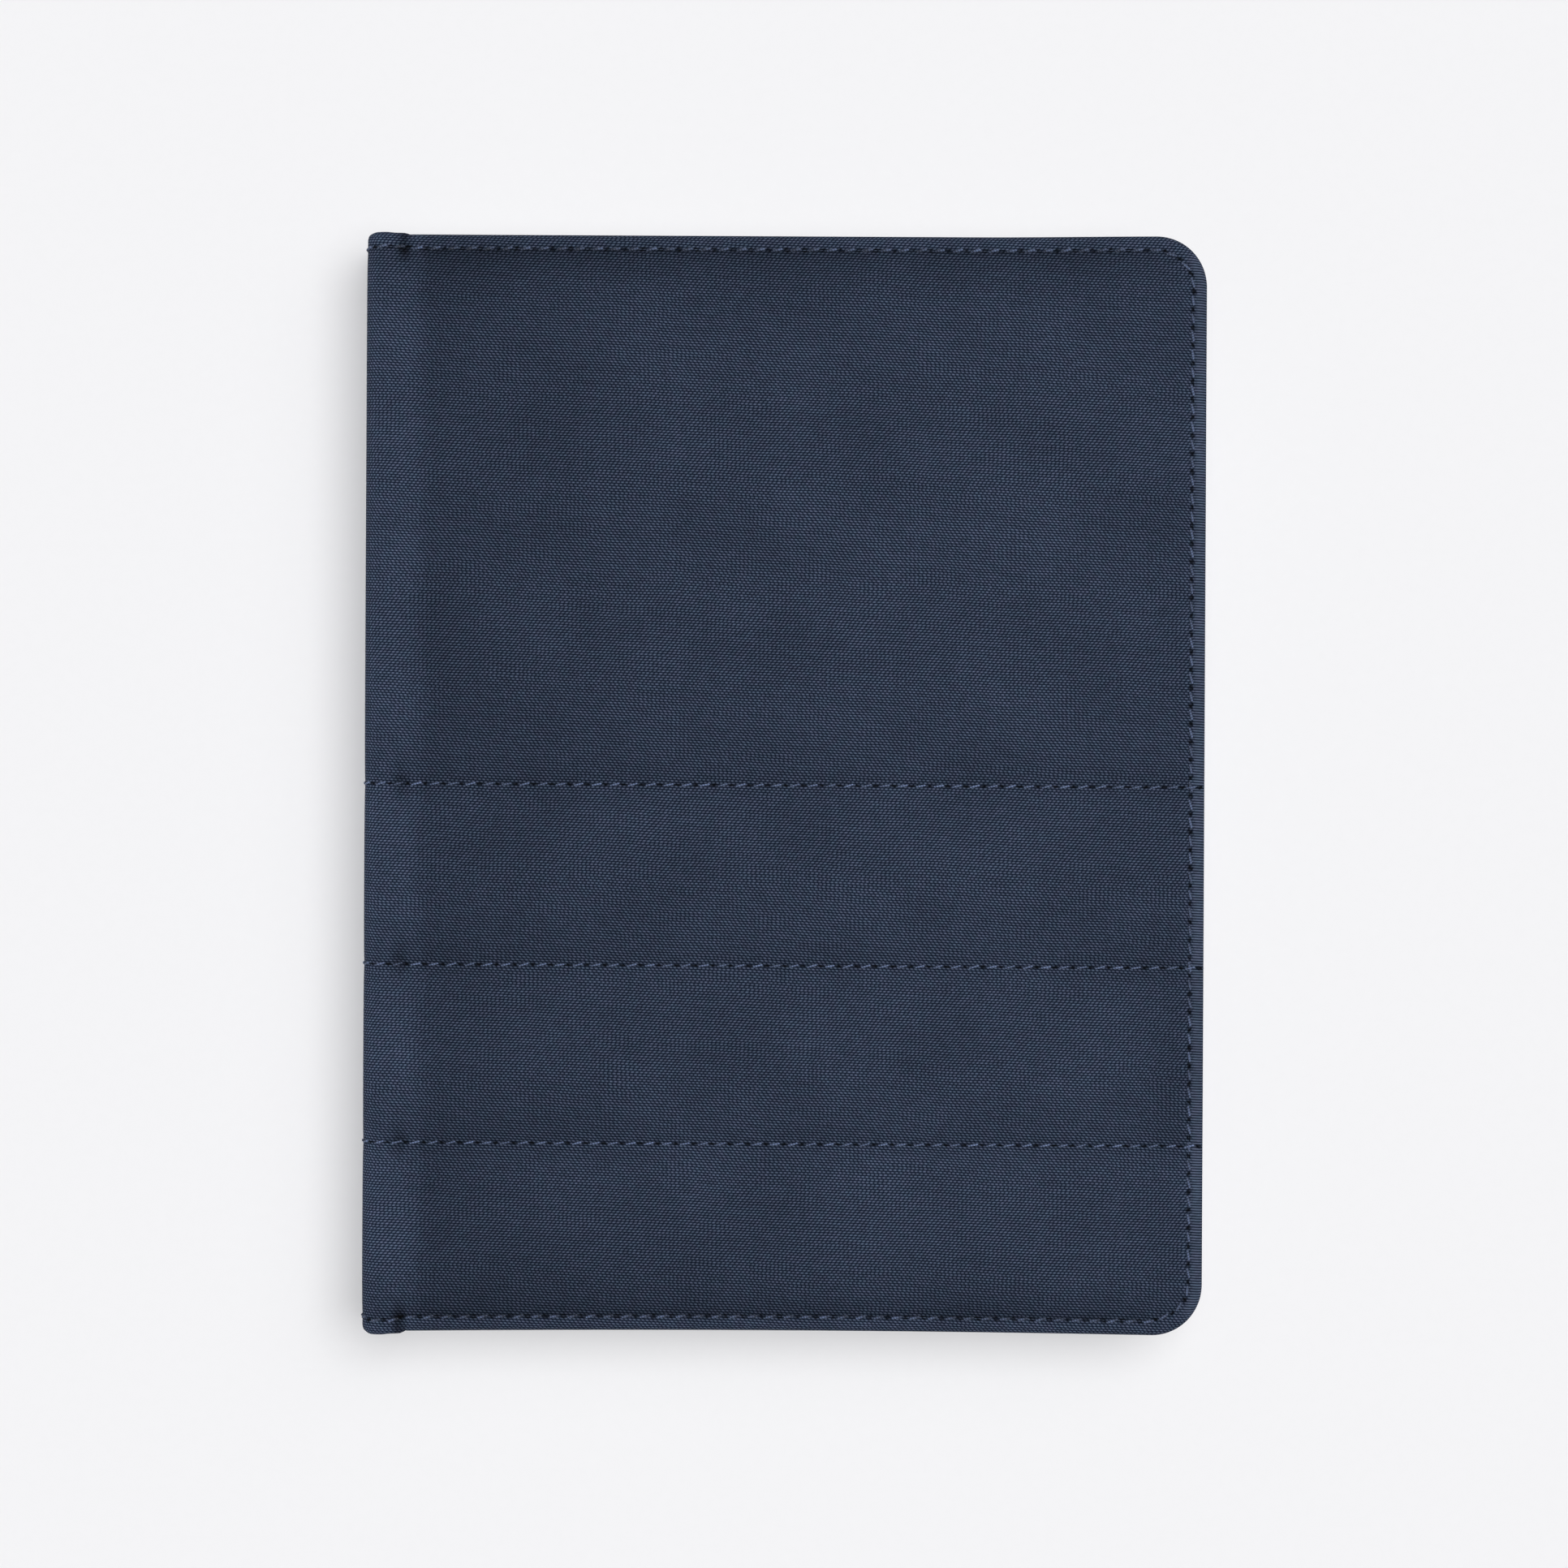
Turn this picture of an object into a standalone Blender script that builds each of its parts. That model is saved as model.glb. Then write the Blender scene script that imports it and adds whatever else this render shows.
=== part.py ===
"""A ring-bound pilot logbook in a padded cloth cover, closed and lying on its back cover.

Run with:  blender --background --python part.py
Metres, +Z up. The origin is on the surface that the book lies on, under the middle of the closed cover.
The spine is at -X, the fore edge at +X, and the head of the book at +Y.
"""

import math

import bmesh
import bpy

# ---- Driving dimensions -------------------------------------------------------------------------
COVER_WIDTH = 0.180  # X, spine to fore edge
SPINE_HEIGHT = 0.235  # Y, at the spine
PANEL_HEIGHT = 0.2343  # Y, of the front and back covers
THICKNESS = 0.030  # Z, closed
FORE_CORNER_R = 0.0108
SPINE_CORNER_R = 0.0020
SHOULDER_R = 0.0045  # of the cloth where it turns from a cover to the spine

GAP = 0.0002  # between layers that touch on the real book
CLOTH = 0.0005
FOAM = 0.0008
BOARD = 0.0012
LINING = 0.0004
FLANGE = 0.012  # width of the cloth that is turned in over the boards
EDGE_ROLL = 0.0014  # radius of the cloth round a board's edge
PANEL_START = 0.0064  # from the spine's outer face to a cover's board
SPINE_START = 0.0052  # from a cover's outer face to the spine's board
LINING_INSET = 0.0018

RING_PITCH = 0.019
RING_FIRST = 0.035  # from the middle of the book to the nearest ring
RING_R = 0.0091  # of the wire's centre line
WIRE_R = 0.00105
RING_FROM_SPINE = 0.0170  # from the spine's outer face to the rings' centre
RING_TIP_GAP = 0.0003

PLATE_HALF_WIDTH = 0.0075
PLATE_SIDE = 0.0022
PLATE_CROWN = 0.0042
PLATE_WALL = 0.0006
PLATE_HALF_LENGTH = 0.1095
SLOT_X = (0.0040, 0.0080)  # the slots that the wires leave by, from the rings' centre
SLOT_HALF_WIDTH = 0.0015
SLOT_BOTTOM = 0.0016  # above the plate's foot
END_NOTCH_BOTTOM = 0.0010  # of the opening for a trigger, above the plate's foot
END_NOTCH_TOP = 0.0060
END_NOTCH_CLEARANCE = 0.0007
BLADE_OUTER = 0.0064
BLADE_INNER = 0.00025
BLADE_THICKNESS = 0.0008
BLADE_HEIGHT = 0.0015  # of a blade's middle, above the plate's foot
BLADE_HALF_LENGTH = 0.1055
BLADE_END_GAP = 0.0003  # from a blade's end to the opening for the trigger
BLADE_NOTCH_CLEARANCE = 0.0011  # round a rivet, so that the blades can swing
WIRE_FOOT_X = 0.0036  # from the rings' centre to where a wire meets its blade

TRIGGER_Y = 0.1075
TRIGGER_HEIGHT = 0.0013
TRIGGER_HALF_WIDTH = 0.0050
TRIGGER_PIN_R = 0.0006
TONGUE_HALF_WIDTH = 0.0012
TONGUE_LENGTH = 0.0025
TONGUE_BELOW = (0.0007, 0.0004)  # its lower and upper face, below the pin's axis
# (away from the book's middle, up) from the pin's axis
TAB_PROFILE = [(-0.0008, -0.0008), (0.0012, -0.0009), (0.0023, 0.0004), (0.0028, 0.0036),
               (0.0048, 0.0062), (0.0041, 0.0070), (0.0018, 0.0042), (0.0010, 0.0011),
               (-0.0008, 0.0010)]
PIN_CLEARANCE = 0.0001
RIVET_Y = 0.092
RIVET_R = 0.0015
RIVET_HEAD_R = 0.0024
RIVET_HEAD_HEIGHT = 0.0008
RIVET_FOOT_R = 0.0032
RIVET_FOOT_HEIGHT = 0.0005
RIVET_FOOT_CLEARANCE = 0.0006
RIVET_FOOT_GAP = 0.0002  # under the foot
RIVET_DOME_STEPS = 5
BORE_CLEARANCE = 0.0003
CUT_MARGIN = 0.001  # how far a cutter runs past what it cuts

LEAF_WIDTH = 0.148
LEAF_HEIGHT = 0.210
HOLE_R = 0.0030
HOLE_FROM_EDGE = 0.0055
HOLE_SLACK = 0.0010  # the leaves hang away from the spine by this much
LEAF_BEND_START = 0.012  # from the rings' centre to where the leaves start to dip
LEAF_BEND_LENGTH = 0.045
LEAF_BEND_STEPS = 8
LEAF_GAP = 0.0003  # between the plate and the first leaf
PUNCH_MARGIN = 0.0004
PUNCH_STEPS = 12
TAB_DEPTH = 0.0075
TAB_LENGTH = 0.036
TAB_ROOT = 0.004  # how far a tab runs back into its card
TAB_RADII = (0.001, 0.003)

# ---- Values that follow -------------------------------------------------------------------------
SPINE_X = -COVER_WIDTH / 2
FORE_X = COVER_WIDTH / 2
TRAY = CLOTH + GAP + FOAM + GAP + BOARD + GAP + CLOTH  # cloth, foam, board and turned-in cloth
PANEL = TRAY + GAP + LINING
HINGE_INSET = SHOULDER_R * (1 - math.pi / 4)  # keeps the cloth's length when it unfolds
PANEL_X = SPINE_X + PANEL_START
RING_X = SPINE_X + RING_FROM_SPINE
FOOT_Z = PANEL + GAP
BLADE_Z = FOOT_Z + BLADE_HEIGHT
RING_Z = BLADE_Z + math.sqrt(RING_R**2 - WIRE_FOOT_X**2)
RING_YS = [side * (RING_FIRST + i * RING_PITCH) for side in (-1, 1) for i in range(3)]
LEAF_Z = FOOT_Z + PLATE_CROWN + LEAF_GAP  # where the leaves start, over the plate

# name, lowest point over the plate, thickness, dip towards the fore edge
LOG_LEAVES = [
    ("log_leaves_lower", 0.0, 0.0030, 0.0040),
    ("log_leaves_middle", 0.0039, 0.0030, 0.0034),
    ("log_leaves_upper", 0.0078, 0.0020, 0.0028),
    ("log_leaves_turning", 0.0101, 0.0005, 0.0025),
]
# name, lowest point, dip, middle of the tab along Y
DIVIDERS = [
    ("divider_lower", 0.0033, 0.0037, -0.062),
    ("divider_middle", 0.0072, 0.0031, 0.0),
    ("divider_front", 0.0109, 0.0024, 0.062),
]
DIVIDER_THICKNESS = 0.0003

POCKET_X = (-0.056, 0.0850)
POCKET_Y = (-0.1135, 0.020)
CARD_SLOT_X = (-0.034, 0.0630)
CARD_SLOT_HEIGHT = 0.058
CARD_SLOT_TOPS = (0.108, 0.094, 0.080)

EMPTY_SIZE = 0.01
ARC_STEPS = 6
ROUND_STEPS = 16
PIN_STEPS = 12
WIRE_STEPS = 12
WIRE_SIDES = 8
SHARP_ANGLE = 35  # degrees


# ---- Materials ----------------------------------------------------------------------------------
def material(name, colour, roughness, metallic=0.0):
    made = bpy.data.materials.new(name)
    made.use_nodes = True
    shader = made.node_tree.nodes["Principled BSDF"]
    shader.inputs["Base Color"].default_value = (*colour, 1.0)
    shader.inputs["Roughness"].default_value = roughness
    shader.inputs["Metallic"].default_value = metallic
    return made


def make_materials():
    return {
        "cloth": material("navy_cloth", (0.032, 0.043, 0.072), 0.85),
        "lining": material("navy_lining", (0.018, 0.024, 0.042), 0.6),
        "foam": material("foam", (0.55, 0.55, 0.52), 0.95),
        "board": material("grey_board", (0.35, 0.33, 0.30), 0.9),
        "steel": material("nickel_plate", (0.72, 0.71, 0.69), 0.22, 1.0),
        "paper": material("log_paper", (0.86, 0.85, 0.80), 0.8),
        "card": material("divider_card", (0.30, 0.38, 0.47), 0.7),
    }


# ---- Mesh helpers -------------------------------------------------------------------------------
def object_from(name, bm, look=None, parent=None):
    """An object whose mesh is in world coordinates, under the empty on its joint's axis."""
    bmesh.ops.recalc_face_normals(bm, faces=bm.faces)
    mesh = bpy.data.meshes.new(name)
    bm.to_mesh(mesh)
    bm.free()
    obj = bpy.data.objects.new(name, mesh)
    bpy.context.scene.collection.objects.link(obj)
    if look:
        mesh.materials.append(look)
    if parent:
        obj.parent = parent
        obj.location = -world_of(parent)
    return obj


def empty(name, location, parent=None):
    made = bpy.data.objects.new(name, None)
    made.empty_display_size = EMPTY_SIZE
    bpy.context.scene.collection.objects.link(made)
    made.location = location
    if parent:
        made.parent = parent
        made.location -= world_of(parent)
    return made


def world_of(obj):
    """Where an empty is, from its own place and its parents'. Nothing here is rotated or scaled."""
    place = obj.location.copy()
    while obj.parent:
        obj = obj.parent
        place += obj.location
    return place


def add_stack(bm, loops):
    """A closed solid through loops that have the same number of points, with both ends capped."""
    rows = [[bm.verts.new(point) for point in loop] for loop in loops]
    count = len(rows[0])
    for low, high in zip(rows, rows[1:]):
        for i in range(count):
            j = (i + 1) % count
            bm.faces.new((low[i], low[j], high[j], high[i]))
    bm.faces.new(rows[0][::-1])
    bm.faces.new(rows[-1])


def stacked(name, loops, look=None, parent=None):
    bm = bmesh.new()
    add_stack(bm, loops)
    return object_from(name, bm, look, parent)


def along_y(profile, y0, y1):
    """Loops that extrude an (x, z) profile from y0 to y1."""
    return [[(x, y, z) for x, z in profile] for y in (y0, y1)]


def along_x(profile, x0, x1):
    """Loops that extrude a (y, z) profile from x0 to x1."""
    return [[(x, y, z) for y, z in profile] for x in (x0, x1)]


def upright(x, z):
    """The corners of a rectangle in (x, z)."""
    return [(x[0], z[0]), (x[1], z[0]), (x[1], z[1]), (x[0], z[1])]


def box(name, x, y, z, look=None, parent=None):
    return stacked(name, along_y(upright(x, z), *y), look, parent)


def circle(radius, centre, z, steps=ROUND_STEPS):
    turns = [2 * math.pi * i / steps for i in range(steps)]
    return [(centre[0] + radius * math.cos(t), centre[1] + radius * math.sin(t), z) for t in turns]


def turned(name, centre, profile, look=None, parent=None):
    """A solid turned about a vertical axis, from (radius, z) pairs that run upwards."""
    return stacked(name, [circle(r, centre, z) for r, z in profile], look, parent)


def rounded_outline(x, y, radii):
    """Points round a rectangle, anticlockwise from its low corner. radii: at low x, at high x."""
    corners = (
        (x[0], y[0], radii[0], 180),
        (x[1], y[0], radii[1], 270),
        (x[1], y[1], radii[1], 0),
        (x[0], y[1], radii[0], 90),
    )
    points = []
    for cx, cy, r, start in corners:
        mx = cx + (r if cx == x[0] else -r)
        my = cy + (r if cy == y[0] else -r)
        for i in range(ARC_STEPS + 1):
            turn = math.radians(start + 90 * i / ARC_STEPS)
            points.append((mx + r * math.cos(turn), my + r * math.sin(turn)))
    return points


def combine(obj, other, operation):
    modifier = obj.modifiers.new(f"{operation.lower()}_{other.name}", "BOOLEAN")
    modifier.operation = operation
    modifier.object = other
    other.hide_render = True
    other.display_type = "WIRE"
    return obj


def smooth(obj):
    obj.data.shade_smooth()
    obj.data.set_sharp_from_angle(angle=math.radians(SHARP_ANGLE))
    return obj


# ---- Covers -------------------------------------------------------------------------------------
def facing(level, front):
    """The height of a layer above the back cover's outer face, or the same in the front cover."""
    return THICKNESS - level if front else level


def panel_outline(inset, spine_inset=0.0):
    """A cover's outline, drawn in by inset at the three turned edges."""
    radii = (SPINE_CORNER_R / 4, max(FORE_CORNER_R - inset, SPINE_CORNER_R))
    half = PANEL_HEIGHT / 2 - inset
    return rounded_outline((PANEL_X + spine_inset, FORE_X - inset), (-half, half), radii)


def panel_layer(name, inset, bottom, top, front, look, parent, spine_inset=0.0):
    outline = panel_outline(inset, spine_inset)
    loops = [[(x, y, facing(level, front)) for x, y in outline] for level in (bottom, top)]
    return stacked(name, loops, look, parent)


def shoulder_profile(front, half):
    """The cloth's section where it turns between a cover and the spine, cut at the fold line.
    half is "panel" or "spine". Points are (x, z)."""
    cut = GAP / SHOULDER_R  # the angle that leaves a gap at the fold line
    if half == "panel":
        start, stop = math.radians(90), math.radians(45) + cut / 2
        straight = SPINE_X + PANEL_START + CLOTH
        ends = [(straight, 0.0), (straight, CLOTH)]
    else:
        start, stop = 0.0, math.radians(45) - cut / 2
        straight = SPINE_START + CLOTH
        ends = [(SPINE_X, straight), (SPINE_X + CLOTH, straight)]
    outer, inner = [], []
    for i in range(ARC_STEPS + 1):
        turn = start + (stop - start) * i / ARC_STEPS
        for radius, row in ((SHOULDER_R, outer), (SHOULDER_R - CLOTH, inner)):
            row.append(
                (
                    SPINE_X + SHOULDER_R - radius * math.cos(turn),
                    SHOULDER_R - radius * math.sin(turn),
                )
            )
    points = outer[::-1] + ends + inner
    return [(x, facing(z, front)) for x, z in points]


def cover_cloth(name, front, looks, parent):
    """The outer cloth of a cover: a shallow tray that wraps the boards, and its half of the fold."""
    outline_steps = [(EDGE_ROLL * (1 - math.sin(t)), EDGE_ROLL * (1 - math.cos(t)))
                     for t in (0.0, math.pi / 6, math.pi / 3, math.pi / 2)]
    levels = outline_steps + [(inset, TRAY - level) for inset, level in outline_steps[::-1]]
    loops = [[(x, y, facing(level, front)) for x, y in panel_outline(inset)]
             for inset, level in levels]
    tray = stacked(name, loops, looks["cloth"], parent)
    half = PANEL_HEIGHT / 2
    fold = stacked(
        f"{name}_fold", along_y(shoulder_profile(front, "panel"), -half + CLOTH, half - CLOTH)
    )
    combine(tray, fold, "UNION")
    cavity = panel_layer(f"{name}_cavity", CLOTH, CLOTH, TRAY - CLOTH, front, None, None, -GAP)
    combine(tray, cavity, "DIFFERENCE")
    window = panel_layer(f"{name}_window", FLANGE, TRAY / 2, TRAY + GAP, front, None, None, -GAP)
    return combine(tray, window, "DIFFERENCE")


def cover_layers(side, front, looks, parent):
    """Cloth, foam, board and lining of one cover."""
    cover_cloth(f"{side}_outer_cloth", front, looks, parent)
    inside = CLOTH + GAP
    foam_top = inside + FOAM
    board_top = foam_top + GAP + BOARD
    foam = panel_layer(
        f"{side}_foam_pad", inside, inside, foam_top, front, looks["foam"], parent, GAP
    )
    board = panel_layer(
        f"{side}_board", inside, foam_top + GAP, board_top, front, looks["board"], parent, GAP
    )
    lining = panel_layer(
        f"{side}_lining", LINING_INSET, TRAY + GAP, PANEL, front, looks["lining"], parent, GAP
    )
    return foam, board, lining


def spine_layers(looks, parent):
    """Cloth, foam, board and lining of the spine, which stands between the two fold lines."""
    half = SPINE_HEIGHT / 2
    z = (SPINE_START, THICKNESS - SPINE_START)
    cloth = box("spine_outer_cloth", (SPINE_X, SPINE_X + TRAY), (-half, half), z,
                looks["cloth"], parent)
    for front in (False, True):
        profile = shoulder_profile(front, "spine")
        fold = stacked(f"spine_fold_{int(front)}", along_y(profile, -half + CLOTH, half - CLOTH))
        combine(cloth, fold, "UNION")
    reach = (z[0] - GAP, z[1] + GAP)
    cavity = box("spine_cavity", (SPINE_X + CLOTH, SPINE_X + TRAY - CLOTH),
                 (-half + CLOTH, half - CLOTH), reach)
    combine(cloth, cavity, "DIFFERENCE")
    window = box("spine_window", (SPINE_X + TRAY / 2, SPINE_X + TRAY + GAP),
                 (-half + FLANGE, half - FLANGE), reach)
    combine(cloth, window, "DIFFERENCE")

    inside = CLOTH + GAP
    y = (-half + inside, half - inside)
    x0 = SPINE_X + inside
    x1 = x0 + FOAM + GAP
    box("spine_foam_pad", (x0, x0 + FOAM), y, z, looks["foam"], parent)
    box("spine_board", (x1, x1 + BOARD), y, z, looks["board"], parent)
    y = (-half + LINING_INSET, half - LINING_INSET)
    box("spine_lining", (SPINE_X + TRAY + GAP, SPINE_X + PANEL), y, z, looks["lining"], parent)


def pockets(looks, parent):
    """A slip pocket and three stepped card slots on the lining of the front cover."""
    top = THICKNESS - PANEL - GAP
    box("document_pocket", POCKET_X, POCKET_Y, (top - LINING, top), looks["lining"], parent)
    for i, upper in enumerate(CARD_SLOT_TOPS):
        z = top - i * (LINING + GAP)
        y = (upper - CARD_SLOT_HEIGHT, upper)
        box(f"card_slot_{i + 1}", CARD_SLOT_X, y, (z - LINING, z), looks["lining"], parent)


# ---- Ring mechanism -----------------------------------------------------------------------------
def rivet_hole(name, radius, z):
    """One cutter that goes through the layers at both rivets."""
    bm = bmesh.new()
    for side in (-1, 1):
        add_stack(bm, [circle(radius, (RING_X, side * RIVET_Y), level) for level in z])
    return object_from(name, bm)


def plate_profile():
    """The section of the arched cover plate, open below."""
    def arch(half_width, side, crown):
        rise = crown - side
        radius = (half_width**2 + rise**2) / (2 * rise)
        half_angle = math.asin(half_width / radius)
        row = []
        for i in range(2 * ARC_STEPS + 1):
            turn = half_angle * (i / ARC_STEPS - 1)
            height = crown - radius + radius * math.cos(turn)
            row.append((RING_X + radius * math.sin(turn), FOOT_Z + height))
        return row

    outer = arch(PLATE_HALF_WIDTH, PLATE_SIDE, PLATE_CROWN)
    inner = arch(PLATE_HALF_WIDTH - PLATE_WALL, PLATE_SIDE - PLATE_WALL / 4,
                 PLATE_CROWN - PLATE_WALL)
    left, right = outer[0][0], outer[-1][0]
    feet_right = [(right, FOOT_Z), (right - PLATE_WALL, FOOT_Z)]
    feet_left = [(left + PLATE_WALL, FOOT_Z), (left, FOOT_Z)]
    return outer + feet_right + inner[::-1] + feet_left


def wire_slots():
    """Cutters for the slots that the wires leave the plate by."""
    bm = bmesh.new()
    z = (FOOT_Z + SLOT_BOTTOM, FOOT_Z + PLATE_CROWN + CUT_MARGIN)
    for side in (-1, 1):
        corners = upright(sorted(RING_X + side * x for x in SLOT_X), z)
        for y in RING_YS:
            add_stack(bm, along_y(corners, y - SLOT_HALF_WIDTH, y + SLOT_HALF_WIDTH))
    return object_from("plate_slots", bm)


def end_notches():
    """Cutters for the openings that the triggers stand in."""
    bm = bmesh.new()
    half = TRIGGER_HALF_WIDTH + END_NOTCH_CLEARANCE
    corners = upright((RING_X - half, RING_X + half),
                      (FOOT_Z + END_NOTCH_BOTTOM, FOOT_Z + END_NOTCH_TOP))
    near, far = BLADE_HALF_LENGTH + BLADE_END_GAP, PLATE_HALF_LENGTH + CUT_MARGIN
    for side in (-1, 1):
        add_stack(bm, along_y(corners, *sorted((side * near, side * far))))
    return object_from("plate_end_notches", bm)


def pin_section(y, z, radius):
    turns = [2 * math.pi * i / PIN_STEPS for i in range(PIN_STEPS)]
    return [(y + radius * math.cos(t), z + radius * math.sin(t)) for t in turns]


def pin_holes():
    """Cutters for the holes in the plate's side walls that the triggers' pins turn in."""
    bm = bmesh.new()
    reach = PLATE_HALF_WIDTH + CUT_MARGIN
    for side in (-1, 1):
        section = pin_section(side * TRIGGER_Y, FOOT_Z + TRIGGER_HEIGHT,
                              TRIGGER_PIN_R + PIN_CLEARANCE)
        add_stack(bm, along_x(section, RING_X - reach, RING_X + reach))
    return object_from("plate_pin_holes", bm)


def ring_plate(looks):
    length = PLATE_HALF_LENGTH
    plate = stacked("ring_cover_plate", along_y(plate_profile(), -length, length), looks["steel"])
    rivet_holes = rivet_hole("plate_rivet_holes", RIVET_R + BORE_CLEARANCE,
                             (FOOT_Z + PLATE_SIDE, FOOT_Z + PLATE_CROWN + CUT_MARGIN))
    for cutter in (wire_slots(), end_notches(), pin_holes(), rivet_holes):
        combine(plate, cutter, "DIFFERENCE")
    return smooth(plate)


def add_wire(bm, y, side):
    """One half ring: a round wire from the closing point, over the top, down into its blade."""
    tip = math.acos(RING_TIP_GAP / 2 / RING_R)
    foot = -math.acos(WIRE_FOOT_X / RING_R)
    loops = []
    for i in range(WIRE_STEPS + 1):
        turn = tip + (foot - tip) * i / WIRE_STEPS
        out = (side * math.cos(turn), math.sin(turn))
        loop = []
        for j in range(WIRE_SIDES):
            around = 2 * math.pi * (j + 0.5) / WIRE_SIDES
            reach = RING_R + WIRE_R * math.cos(around)
            loop.append((RING_X + reach * out[0], y + WIRE_R * math.sin(around),
                         RING_Z + reach * out[1]))
        loops.append(loop)
    add_stack(bm, loops)


def ring_bar(name, side, looks, parent):
    """A blade with its six half rings, which are welded to it."""
    x = sorted((RING_X + side * BLADE_INNER, RING_X + side * BLADE_OUTER))
    z = (BLADE_Z - BLADE_THICKNESS / 2, BLADE_Z + BLADE_THICKNESS / 2)
    length = BLADE_HALF_LENGTH
    bar = box(name, x, (-length, length), z, looks["steel"], parent)
    wires = bmesh.new()
    for y in RING_YS:
        add_wire(wires, y, side)
    combine(bar, object_from(f"{name}_wires", wires), "UNION")
    notches = rivet_hole(f"{name}_notches", RIVET_R + BLADE_NOTCH_CLEARANCE,
                         (z[0] - CUT_MARGIN, z[1] + CUT_MARGIN))
    return smooth(combine(bar, notches, "DIFFERENCE"))


def trigger(name, side, looks, parent):
    """An end lever: a thumb tab, a pin in the plate's side walls, and a tongue under the blades."""
    z = FOOT_Z + TRIGGER_HEIGHT
    profile = [(side * (TRIGGER_Y + y), z + height) for y, height in TAB_PROFILE]
    lever = stacked(
        name, along_x(profile, RING_X - TRIGGER_HALF_WIDTH, RING_X + TRIGGER_HALF_WIDTH),
        looks["steel"], parent,
    )
    pin_reach = PLATE_HALF_WIDTH - PIN_CLEARANCE
    pin = stacked(
        f"{name}_pin",
        along_x(pin_section(side * TRIGGER_Y, z, TRIGGER_PIN_R), RING_X - pin_reach,
                RING_X + pin_reach),
    )
    combine(lever, pin, "UNION")
    tongue_y = sorted((side * (TRIGGER_Y - TONGUE_LENGTH), side * TRIGGER_Y))
    tongue = box(f"{name}_tongue", (RING_X - TONGUE_HALF_WIDTH, RING_X + TONGUE_HALF_WIDTH),
                 tongue_y, [z - below for below in TONGUE_BELOW])
    return combine(lever, tongue, "UNION")


def rivet(name, y, looks):
    """A rivet with a domed head on the plate and a flat foot under the back board."""
    foot = CLOTH + GAP + RIVET_FOOT_GAP
    foot_top = foot + RIVET_FOOT_HEIGHT
    head = FOOT_Z + PLATE_CROWN + GAP
    profile = [(RIVET_FOOT_R, foot), (RIVET_FOOT_R, foot_top), (RIVET_R, foot_top),
               (RIVET_R, head), (RIVET_HEAD_R, head)]
    for i in range(1, RIVET_DOME_STEPS):
        turn = math.pi / 2 * i / RIVET_DOME_STEPS
        profile.append((RIVET_HEAD_R * math.cos(turn), head + RIVET_HEAD_HEIGHT * math.sin(turn)))
    return smooth(turned(name, (RING_X, y), profile, looks["steel"]))


def ring_mechanism(looks, hinges, back):
    """The plate and its rivets on the back cover, and what turns in the plate."""
    ring_plate(looks)
    for label, side in (("upper", 1), ("lower", -1)):
        rivet(f"rivet_{label}", side * RIVET_Y, looks)
        trigger(f"trigger_{label}", side, looks, hinges[f"trigger_{label}"])
    ring_bar("ring_bar_spine_side", -1, looks, hinges["ring_bar_spine_side"])
    ring_bar("ring_bar_leaf_side", 1, looks, hinges["ring_bar_leaf_side"])
    foam, board, lining = back
    foam_holes = rivet_hole("foam_holes", RIVET_FOOT_R + RIVET_FOOT_CLEARANCE, (0.0, PANEL))
    combine(foam, foam_holes, "DIFFERENCE")
    for layer in (board, lining):
        cutter = rivet_hole(f"{layer.name}_holes", RIVET_R + BORE_CLEARANCE, (0.0, 2 * PANEL))
        combine(layer, cutter, "DIFFERENCE")


# ---- Leaves -------------------------------------------------------------------------------------
def ring_shift(z):
    """How far a leaf at height z sits from the rings' centre, because its holes are on the wire."""
    return math.sqrt(RING_R**2 - (z - RING_Z) ** 2) + HOLE_SLACK


def dip_at(x, dip):
    """How far the leaves bend down past the plate, towards the fore edge."""
    share = min(max((x - RING_X - LEAF_BEND_START) / LEAF_BEND_LENGTH, 0.0), 1.0)
    return dip * share * share * (3 - 2 * share)


def leaf_profile(bottom, thickness, dip):
    """The (x, z) section of a bundle of leaves. Its edge steps with the curve of the rings."""
    start = RING_X + LEAF_BEND_START
    bend = [start + LEAF_BEND_LENGTH * i / LEAF_BEND_STEPS for i in range(LEAF_BEND_STEPS + 1)]
    rows = []
    for z in (bottom, bottom + thickness):
        left = RING_X + ring_shift(z) - HOLE_FROM_EDGE
        xs = [left, *bend, left + LEAF_WIDTH]
        rows.append([(x, z - dip_at(x, dip)) for x in xs])
    return rows[0] + rows[1][::-1]


def punch(leaf, bottom, thickness):
    """Six round holes that follow the wire through the bundle."""
    holes = bmesh.new()
    levels = (bottom - PUNCH_MARGIN, bottom + thickness / 2, bottom + thickness + PUNCH_MARGIN)
    for y in RING_YS:
        rounds = [circle(HOLE_R, (RING_X + ring_shift(z), y), z, PUNCH_STEPS) for z in levels]
        add_stack(holes, rounds)
    return combine(leaf, object_from(f"{leaf.name}_holes", holes), "DIFFERENCE")


def leaf_bundle(name, bottom, thickness, dip, looks, parent):
    half = LEAF_HEIGHT / 2
    profile = leaf_profile(bottom, thickness, dip)
    return punch(stacked(name, along_y(profile, -half, half), looks["paper"], parent),
                 bottom, thickness)


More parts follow.
